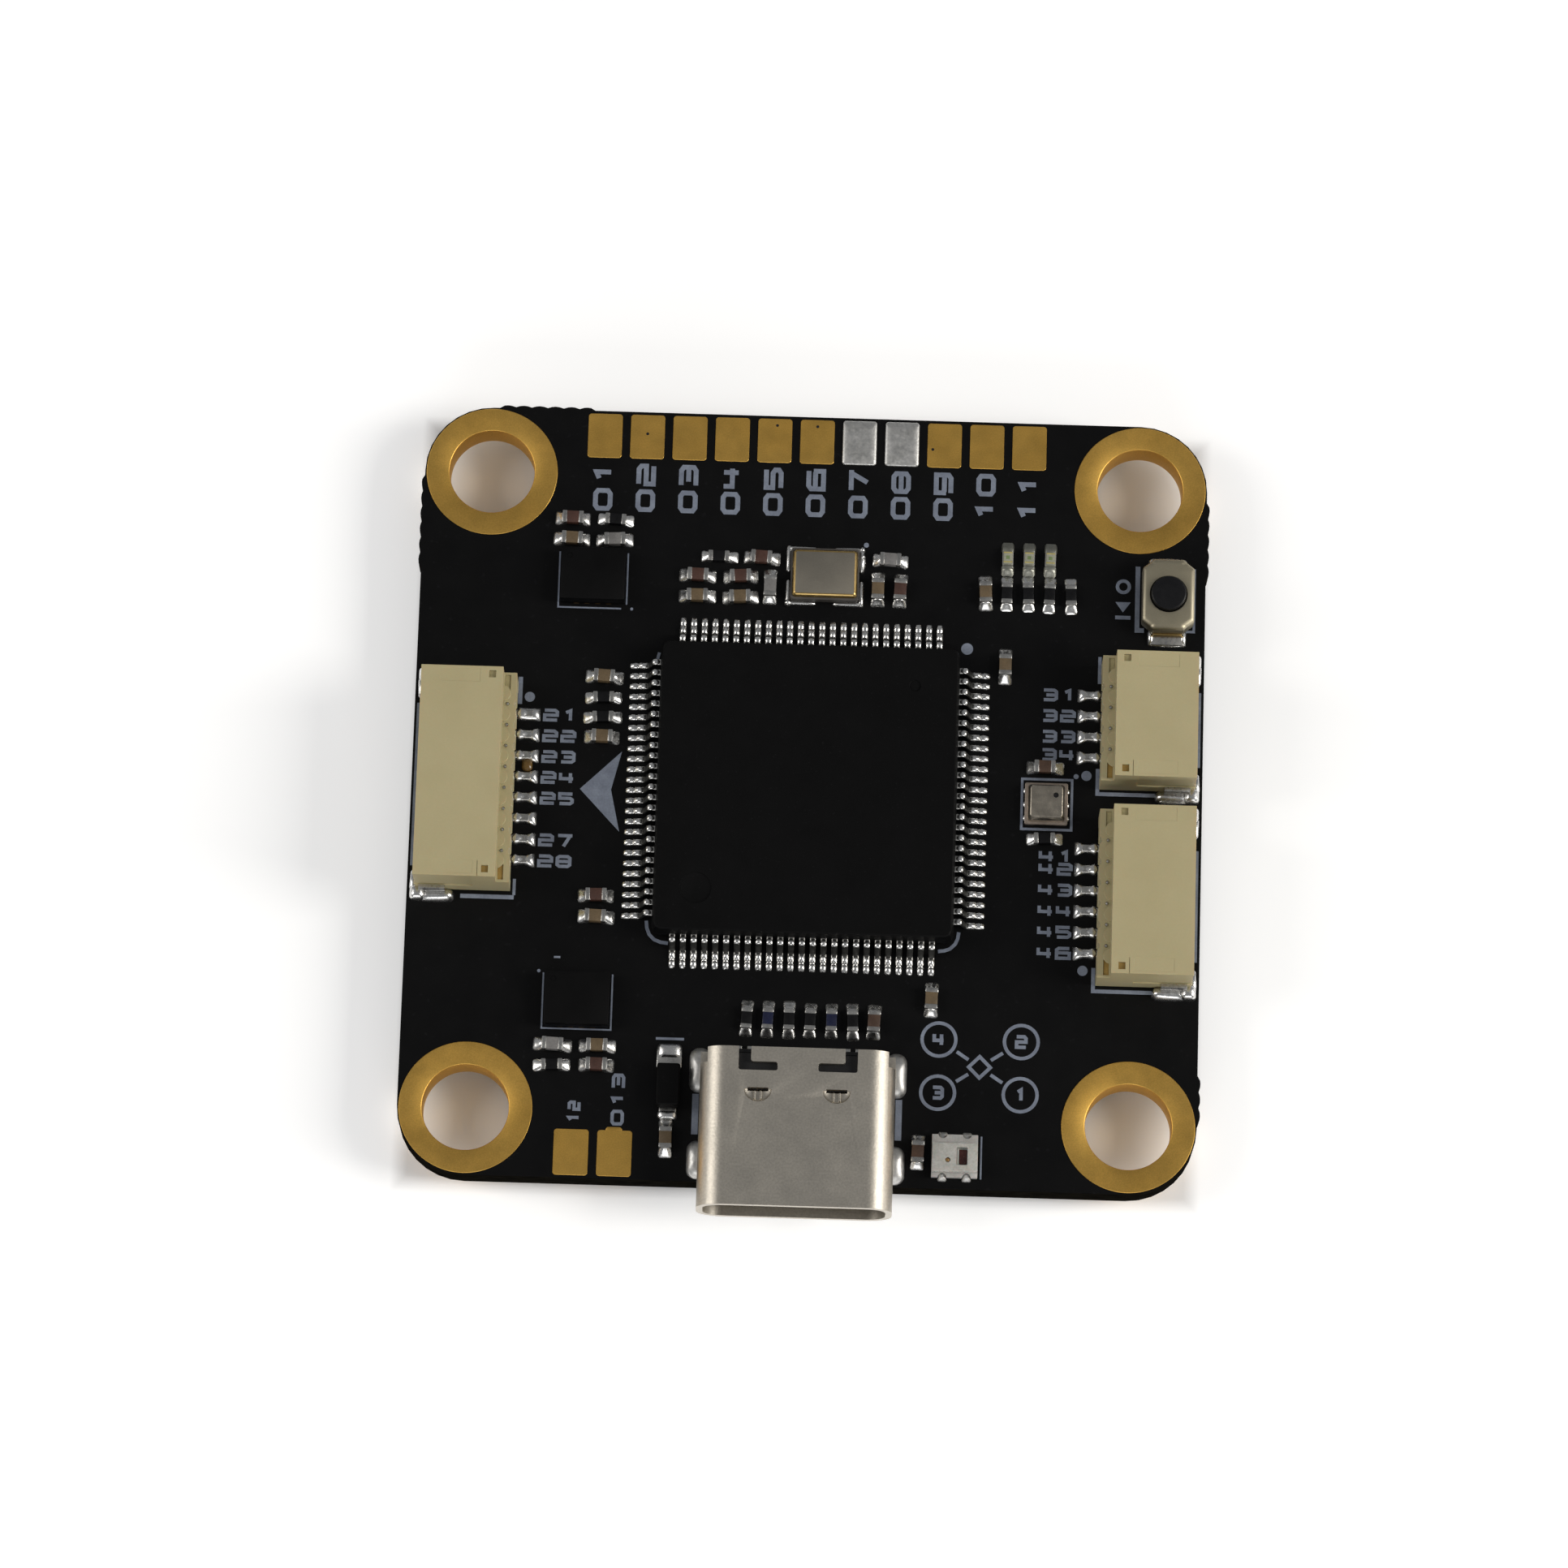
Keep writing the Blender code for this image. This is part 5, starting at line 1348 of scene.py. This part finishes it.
SOCKET_JOINT = (
    # place along Y, half width, height
    (4.28, 0.2, 0.1),
    (4.4, 0.27, 0.26),
    (4.58, 0.28, 0.36),
    (4.76, 0.22, 0.28),
    (4.98, 0.2, 0.22),
    (5.16, 0.27, 0.26),
    (5.32, 0.32, 0.26),
    (5.43, 0.33, 0.13),
    (5.49, 0.3, 0.02),
)


TAB_HEAP = ((1.0, 0.0), (0.98, 0.12), (0.9, 0.3), (0.7, 0.44), (0.4, 0.5), (0.1, 0.51))
TAB_RUN = (  # solder along a tab: place, half width, height
    (-0.78, 0.2, 0.05), (-0.62, 0.28, 0.26), (-0.2, 0.31, 0.34), (0.3, 0.32, 0.38), (0.65, 0.31, 0.44),
    (0.84, 0.28, 0.38), (0.95, 0.2, 0.2), (0.99, 0.12, 0.03),
)
TAB_FRONT = ((-0.9, 0.05, 0.02), (-0.75, 0.16, 0.14), (0.0, 0.19, 0.24), (0.2, 0.12, 0.1))


def make_flux():
    """A bead of dried flux beside the left socket's third tail."""
    heap = ((1.0, 0.0), (0.95, 0.06), (0.75, 0.13), (0.4, 0.17), (0.1, 0.18))
    piece("flux_bead", mound(rounded(-13.05, 1.05, 0.5, 0.62, 0.22), heap), "flux")


def make_socket(name, ways, place, turn):
    """A wire socket: housing, contacts, brown painted shade in its recesses, solder tails and two solder
    tabs.
    """
    row = ways - 1.0
    half = (row + 3.0) / 2
    near_end = 1 if turn < 0 else -1
    housing = placed(socket_housing(ways, near_end), *place, turn)
    piece(f"{name}_body", housing, "cream", f"{name}_housing", sharp=20.0)
    pocket_shade_sheets = []
    for side in (-1, 1):
        x = side * (half - 0.36)
        # painted shade: the end nearer the front gets the dark brown, the far end a faint one
        look = 0 if side == near_end else 1
        small = block((x - 0.16, 3.16, SOCKET_TOP - 0.21), (x + 0.16, 3.46, SOCKET_TOP - 0.12), 0.0)
        large = slab(side, (half - 0.84, half - 0.13), (3.87, 4.11), (SOCKET_STEP - 0.09, SOCKET_STEP - 0.05))
        pocket_shade_sheets += [tinted(small, look), tinted(large, look)]
    piece(f"{name}_pockets", pocket_shade_sheets, "stain faint_stain", at=(*place, turn))
    contacts = []
    joints = []
    top = SOCKET_STEP + 0.02
    pip = ((0.08, top - 0.2), (0.08, top - 0.03), (0.06, top), (0.02, top + 0.015))
    for i, x in enumerate(spread(ways, 1.0)):
        path = eased(((0.9, 1.45), (3.3, 1.45), (3.3, 0.13), (5.15, 0.13)), 0.2)
        contacts.append(placed(bevelled(strip(path, 0.2, 0.34), 0.03, 1, 50.0), x))
        contacts.append(placed(lathe(pip, steps=12), x, 4.0))
        even = name == "socket_8_way" and i == 0
        swell = CHANCE.uniform(0.88, 1.06)
        sections = [(y, 0.31 if even else width, height * swell) for y, width, height in SOCKET_JOINT]
        joints.append(placed(bead(sections, 10), x))
    piece(f"{name}_pins", contacts, "tin", f"{name}_contacts", at=(*place, turn))
    piece(f"{name}_solder", joints, "solder", at=(*place, turn))
    for end, letter in ((-1, "a"), (1, "b")):
        near = half + 0.01
        path = eased(((near + 0.1, 1.0), (near + 0.1, 0.12), (near + 0.42, 0.12)), 0.12)
        tab = bevelled(strip(path, 0.2, 1.2), 0.04, 2, 50.0)
        tab = placed(placed(tab, turn=-90.0 * end), y=0.8)
        node = f"{name}_tab_{letter}"
        piece(f"{node}_metal", tab, "tin", node, at=(*place, turn))
        corner = mound(rounded(end * (near + 0.22), 0.1, 0.74, 0.74, 0.2), TAB_HEAP)
        run = placed(bead(TAB_RUN, 12), end * (near + 0.3), 0.82)
        front = placed(placed(bead(TAB_FRONT), 0.0, -0.1, -90.0 * end), end * (near - 0.05))
        piece(f"{node}_solder", [corner, run, front], "solder", at=(*place, turn))


# ---- USB socket -----------------------------------------------------------------------------

USB_FRONT = -20.0
USB_DEPTH = 7.35
USB_WIDTH = 8.94
USB_HEIGHT = 3.16
USB_MIDDLE = 0.04 + USB_HEIGHT / 2
USB_SHEET = 0.3
USB_LEG_X = 4.32
USB_LATCH_X = 1.8
USB_FLAP_SLOT = (
    (1.8, 6.25), (2.72, 6.25), (2.72, 7.7), (2.15, 7.7),
    (2.15, 6.65), (0.93, 6.65), (0.93, 6.25), (1.7, 6.25),
)
USB_LEGS = ((2.6, 0.9, 1.8), (6.8, 1.0, 2.1))  # place along Y, width of leg, length of its solder
LEG_HEAP = ((1.0, 0.0), (0.99, 0.08), (0.93, 0.2), (0.8, 0.34), (0.6, 0.44), (0.35, 0.5), (0.1, 0.52))


def standing(bm, start):
    """Turns a shape drawn in the XZ plane to face along Y, from a place on."""
    matrix = Matrix.Translation((0.0, start, 0.0)) @ Matrix.Rotation(math.pi / 2, 4, "X")
    bmesh.ops.transform(bm, matrix=matrix, verts=bm.verts)
    return bm


def usb_shell():
    """The rolled shell in its own frame, with its slots, latches and legs."""
    outer = rounded(0.0, USB_MIDDLE, USB_WIDTH, USB_HEIGHT, 1.2, 16)
    inner = rounded(0.0, USB_MIDDLE, USB_WIDTH - 2 * USB_SHEET, USB_HEIGHT - 2 * USB_SHEET, 0.9, 16)
    shell = standing(prism([outer, inner], -USB_DEPTH, 0.0), 0.0)
    legs = []
    for side in (-1, 1):
        for y, width, length in USB_LEGS:
            low = (side * USB_LEG_X - 0.11, y - width / 2, -1.0)
            legs.append(block(low, (side * USB_LEG_X + 0.11, y + width / 2, USB_MIDDLE), 0.03))
    shell = carved(shell, *legs, operation="UNION")
    tools = [block((-3.4, USB_DEPTH - 1.4, -1.0), (3.4, USB_DEPTH + 1.0, 0.7), 0.0)]
    top = USB_MIDDLE + USB_HEIGHT / 2
    for side in (-1, 1):
        outline = eased(USB_FLAP_SLOT, 0.12)
        outline = [(side * px, py) for px, py in outline]
        tools.append(prism([outline], top - 0.6, top + 0.5))
        across = (USB_LATCH_X - 0.48, USB_LATCH_X + 0.48)
        tools.append(slab(side, across, (5.3, 5.44), (top - 0.6, top + 0.5)))
        tools.append(slab(side, (4.15, 6.0), (6.65, USB_DEPTH + 1.0), (USB_MIDDLE, 6.0)))
        scoop = bmesh.new()
        bmesh.ops.create_uvsphere(scoop, u_segments=32, v_segments=16, radius=1.0)
        bmesh.ops.scale(scoop, vec=(0.64, 0.58, 0.24), verts=scoop.verts)
        geometry = scoop.verts[:] + scoop.edges[:] + scoop.faces[:]
        cut = bmesh.ops.bisect_plane(
            scoop, geom=geometry, plane_co=(0, 0, 0), plane_no=(0, 1, 0), clear_outer=True
        )
        rim = [edge for edge in cut["geom_cut"] if isinstance(edge, bmesh.types.BMEdge)]
        bmesh.ops.contextual_create(scoop, geom=rim)
        tools.append(placed(scoop, side * USB_LATCH_X, 5.36, z=top + 0.02))
    return carved(shell, *tools)


def make_usb():
    """The USB socket: shell, insulator with its tongue, contacts, latches and leg solder."""
    shell = bevelled(usb_shell(), 0.03, 2, 40.0)
    piece("usb_case", shell, "nickel", "usb_shell", at=(0.0, USB_FRONT), sharp=20.0)
    top = USB_MIDDLE + USB_HEIGHT / 2
    ridges = []
    for side in (-1, 1):
        for offset in (-0.14, 0.14):
            x = side * USB_LATCH_X + offset
            ridges.append(block((x - 0.04, 4.92, top - 0.26), (x + 0.04, 5.3, top - 0.06), 0.02))
    piece("usb_latches", ridges, "nickel", at=(0.0, USB_FRONT))
    refit("usb_insulator", "usb_tongue", "black", 0.04)
    plug = block((-4.0, 7.12, 0.75), (4.0, 7.32, 2.75), 0.03)
    piece("usb_back_plug", plug, "black", at=(0.0, USB_FRONT))
    refit("usb_contacts_upper", "usb_fingers_upper", "gold", 0.012)
    refit("usb_contacts_lower", "usb_fingers_lower", "gold", 0.012)
    refit("usb_solder_tails", "usb_tails", "tin", 0.02)
    domes = []
    for side in (-1, 1):
        for y, width, length in USB_LEGS:
            outline = rounded(side * (USB_LEG_X + 0.2), USB_FRONT + y, 0.98, length, 0.44, 8)
            domes.append(mound(outline, LEG_HEAP))
    piece("usb_leg_solder", domes, "dull_solder")


def refit(node, name, look, edge):
    """A CAD node drawn again with softened edges."""
    piece(name, bevelled(from_node(node), edge, 1), look, node, sharp=30.0)


# ---- Underside ------------------------------------------------------------------------------

UNDER_PASSIVES = {
    # look: (x, y, whether it stands along Y), as seen from below
    "tan": (
        (-12.3, 4.6, 1), (-6.7, 4.6, 1), (12.3, 4.6, 1), (6.7, 4.6, 1), (-12.2, -4.2, 1), (-6.9, -4.2, 1),
        (-1.6, -5.0, 0), (1.6, -5.0, 0), (0.0, 5.4, 0),
    ),
    "brown": ((-9.5, 13.0, 0), (9.5, 13.0, 0), (0.0, -11.0, 1), (14.6, -4.2, 1)),
    "film": (
        (-10.4, 1.7, 0), (-8.6, 1.7, 0), (8.6, 1.7, 0), (10.4, 1.7, 0), (-3.4, 5.4, 0), (3.4, 5.4, 0),
        (-14.4, 4.6, 1), (14.4, 4.6, 1), (1.4, -11.0, 1), (-1.4, -11.0, 1),
    ),
}
REGULATOR_PLACES = ((-9.5, 4.6), (9.5, 4.6), (-9.5, -4.2))
INDUCTOR_PLACES = ((-9.5, 9.5), (9.5, 9.5))
BULK_PLACES = ((-4.5, -11.0), (4.5, -11.0))
MEMORY_PLACE = (9.3, -4.2)
UNDER_RECTANGLES = (  # printed outlines: middle, width, length
    (-9.5, 9.5, 5.5, 4.7),
    (9.5, 9.5, 5.5, 4.7),
    (-4.5, -11.0, 4.3, 3.1),
    (4.5, -11.0, 4.3, 3.1),
    (9.3, -4.2, 8.9, 6.6),
)
UNDER_DOTS = ((-5.3, 3.2, 0.2), (13.4, -0.6, 0.2), (-11.4, 5.6, 0.12), (7.6, 5.6, 0.12), (-11.4, -3.2, 0.12))
VIA_RUNS = (  # rows of tented vias: first place, step, count
    (-13.6, 8.0, 0.0, 0.8, 5),
    (13.6, 8.0, 0.0, 0.8, 5),
    (-4.0, 8.3, 1.0, 0.0, 9),
    (-6.0, -7.6, 1.2, 0.0, 11),
    (-15.0, -2.0, 0.0, 1.0, 6),
    (15.9, -3.0, 0.0, 1.0, 8),
)


def make_underside():
    """The chips, inductors and capacitors below the board, with their terminals and solder."""
    for node, look, edge in (
        ("memory_chip", "epoxy", 0.04),
        ("power_inductor_1", "ferrite", 0.12),
        ("power_inductor_2", "ferrite", 0.12),
        ("buck_regulator_1", "epoxy", 0.03),
        ("buck_regulator_2", "epoxy", 0.03),
        ("linear_regulator", "epoxy", 0.03),
        ("display_chip", "epoxy", 0.04),
        ("display_chip_leads_front", "tin", 0.02),
        ("display_chip_leads_rear", "tin", 0.02),
    ):
        refit(node, f"{node}_part", look, edge)
    rows = [placed(gull_joints(14, 0.65, 0.34, 3.2, 3.62), turn=turn) for turn in (0.0, 180.0)]
    piece("display_chip_solder", rows, "solder", underside=True)
    for i, (x, y) in enumerate(REGULATOR_PLACES):
        leads = []
        joints = []
        for count, pitch, turn in ((3, 0.95, 0.0), (2, 1.9, 180.0)):
            leads.append(placed(gull_row(count, pitch, 0.4, 0.8, 0.6, 1.4, 0.12, 0.32), turn=turn))
            joints.append(placed(gull_joints(count, pitch, 0.46, 1.4, 1.8), turn=turn))
        piece(f"regulator_leads_{i + 1}", leads, "tin shaded_tin", at=(x, y), underside=True)
        piece(f"regulator_solder_{i + 1}", joints, "solder", at=(x, y), underside=True)
    for i, at in enumerate(INDUCTOR_PLACES):
        ends = []
        for side in (-1, 1):
            ends.append(tinted(slab(side, (1.7, 2.06), (-1.3, 1.3), (0.02, 0.55), 0.05, 2), 0))
            heap = ((1.0, 0.0), (0.97, 0.1), (0.8, 0.24), (0.4, 0.32), (0.1, 0.33))
            ends.append(tinted(mound(rounded(side * 2.12, 0.0, 0.6, 2.9, 0.2), heap), 1))
        piece(f"inductor_ends_{i + 1}", ends, "tin solder", at=at, underside=True)
    for i, at in enumerate(BULK_PLACES):
        shapes = [tinted(centred(3.0, 2.44, 0.02, 1.16, 0.06, 2), 0)]
        for side in (-1, 1):
            shapes.append(tinted(slab(side, (1.15, 1.6), (-1.25, 1.25), (0.01, 1.19), 0.08, 3), 1))
            joint = bead(((1.5, 1.2, 0.6), (1.62, 1.22, 0.5), (1.8, 1.2, 0.22), (1.95, 1.1, 0.03)), 12)
            shapes.append(tinted(placed(joint, turn=-90.0 * side), 2))
        node = f"bulk_capacitor_{i + 1}"
        piece(f"{node}_part", shapes, "tan tin solder", node, at=at, underside=True)
    joints = []
    for side in (-1, 1):
        for x in spread(4, 1.27):
            joint = bead(((3.9, 0.2, 0.24), (4.02, 0.22, 0.22), (4.2, 0.21, 0.1), (4.34, 0.15, 0.02)))
            joints.append(placed(placed(joint, x), turn=-90.0 * side))
    piece("memory_solder", joints, "solder", at=MEMORY_PLACE, underside=True)
    make_passives(UNDER_PASSIVES, "under_passive", underside=True)
    make_underside_face()


def make_underside_face():
    """The pads, leg solder, vias and printed marks on the board's lower face."""
    width, length = PAD_SIZE
    places = [(x, -TOP_PAD_Y) for x in spread(TOP_PADS, PAD_PITCH)]
    places += [(x, -y) for x, y in FRONT_PADS]
    pads = [pad(x, y, width, length) for x, y in places]
    piece("under_pads", pads, "gold", underside=True)
    domes = []
    for side in (-1, 1):
        for y, leg, run in USB_LEGS:
            outline = rounded(side * USB_LEG_X, -USB_FRONT - y, 1.2, run + 0.2, 0.55, 8)
            heap = ((1.0, 0.0), (0.95, 0.1), (0.75, 0.26), (0.4, 0.36), (0.1, 0.38))
            domes.append(mound(outline, heap))
    piece("under_leg_solder", domes, "solder", underside=True)
    vias = []
    heap = ((1.0, 0.0), (0.9, 0.02), (0.5, 0.012))
    for x, y, dx, dy, count in VIA_RUNS:
        vias += [mound(circle(x + i * dx, y + i * dy, 0.22, 16), heap) for i in range(count)]
    piece("under_vias", vias, "mask", slot="solder_mask", underside=True)
    lines = []
    for x, y, w, h in UNDER_RECTANGLES:
        corners = [(x + a * w / 2, y + b * h / 2) for a, b in ((1, 1), (-1, 1), (-1, -1), (1, -1))]
        lines.append(stroke(corners, 0.12, closed=True))
    lines += [dot(*place) for place in UNDER_DOTS]
    lines += [label(f"{i + 1:02d}", x, y + 1.25, 0.92, 90.0) for i, (x, y) in enumerate(places[:TOP_PADS])]
    piece("under_silkscreen", lines, "ink", underside=True)


# ---- Stage, light and camera ----------------------------------------------------------------

CAMERA_TARGET = (-1.063, 0.527)
CAMERA_DISTANCE = 325.37
CAMERA_ELEVATION = 75.864
CAMERA_AZIMUTH = 1.142
CAMERA_ROLL = 0.624
CAMERA_LENS = 160.51


def make_camera():
    """The camera, nearly overhead, a little in front of the board."""
    turn = math.radians(CAMERA_AZIMUTH)
    rise = math.radians(CAMERA_ELEVATION)
    back = Vector((math.sin(turn) * math.cos(rise), -math.cos(turn) * math.cos(rise), math.sin(rise)))
    target = Vector((*CAMERA_TARGET, TOP))
    data = bpy.data.cameras.new("camera")
    data.lens = CAMERA_LENS
    data.sensor_width = 36.0
    data.clip_start = 0.01
    data.clip_end = 10.0
    camera = bpy.data.objects.new("camera", data)
    camera.location = (target + back * CAMERA_DISTANCE) * MM
    facing = (-back).to_track_quat("-Z", "Y")
    roll = Matrix.Rotation(math.radians(CAMERA_ROLL), 3, "Z").to_quaternion()
    camera.rotation_mode = "QUATERNION"
    camera.rotation_quaternion = facing @ roll
    bpy.context.scene.collection.objects.link(camera)
    bpy.context.scene.camera = camera


def add_light(name, place, size, power, colour=(1.0, 1.0, 1.0)):
    """A soft rectangular lamp aimed at the board, with its place and size in metres."""
    data = bpy.data.lights.new(name, "AREA")
    data.shape = "RECTANGLE"
    data.size, data.size_y = size
    data.energy = power
    data.color = colour
    lamp = bpy.data.objects.new(name, data)
    lamp.location = place
    lamp.rotation_mode = "QUATERNION"
    lamp.rotation_quaternion = (-Vector(place)).to_track_quat("-Z", "Y")
    bpy.context.scene.collection.objects.link(lamp)


def make_stage():
    """A pale floor, soft lamps on both sides, and even light from the surroundings."""
    floor = bmesh.new()
    bmesh.ops.create_grid(floor, x_segments=8, y_segments=8, size=3.0)
    mesh = bpy.data.meshes.new("floor")
    floor.to_mesh(mesh)
    floor.free()
    mesh.materials.append(floor_finish())
    item = bpy.data.objects.new("floor", mesh)
    bpy.context.scene.collection.objects.link(item)
    world = bpy.data.worlds.new("studio")
    world.use_nodes = True
    background = world.node_tree.nodes["Background"]
    background.inputs["Color"].default_value = (0.95, 0.97, 1.0, 1.0)
    background.inputs["Strength"].default_value = 0.23
    bpy.context.scene.world = world
    add_light("lamp_right", (0.55, -0.05, 0.35), (0.24, 0.4), 3.2, (1.0, 0.97, 0.92))
    add_light("lamp_left", (-0.55, 0.0, 0.40), (0.22, 0.4), 1.5, (1.0, 0.97, 0.93))
    add_light("lamp_front", (0.0, -0.6, 0.30), (0.5, 0.25), 1.1)
    bpy.context.scene.view_settings.view_transform = "Standard"


dress("circuit_board", "mask")
make_holes()
make_pads()
make_ink()
make_passives(PASSIVES, "passive")
make_mcu()
make_gyros()
make_crystal()
make_barometer()
make_diode()
make_lamps()
make_button()
for socket in SOCKETS:
    make_socket(*socket)
make_flux()
make_usb()
make_underside()
make_stage()
make_camera()
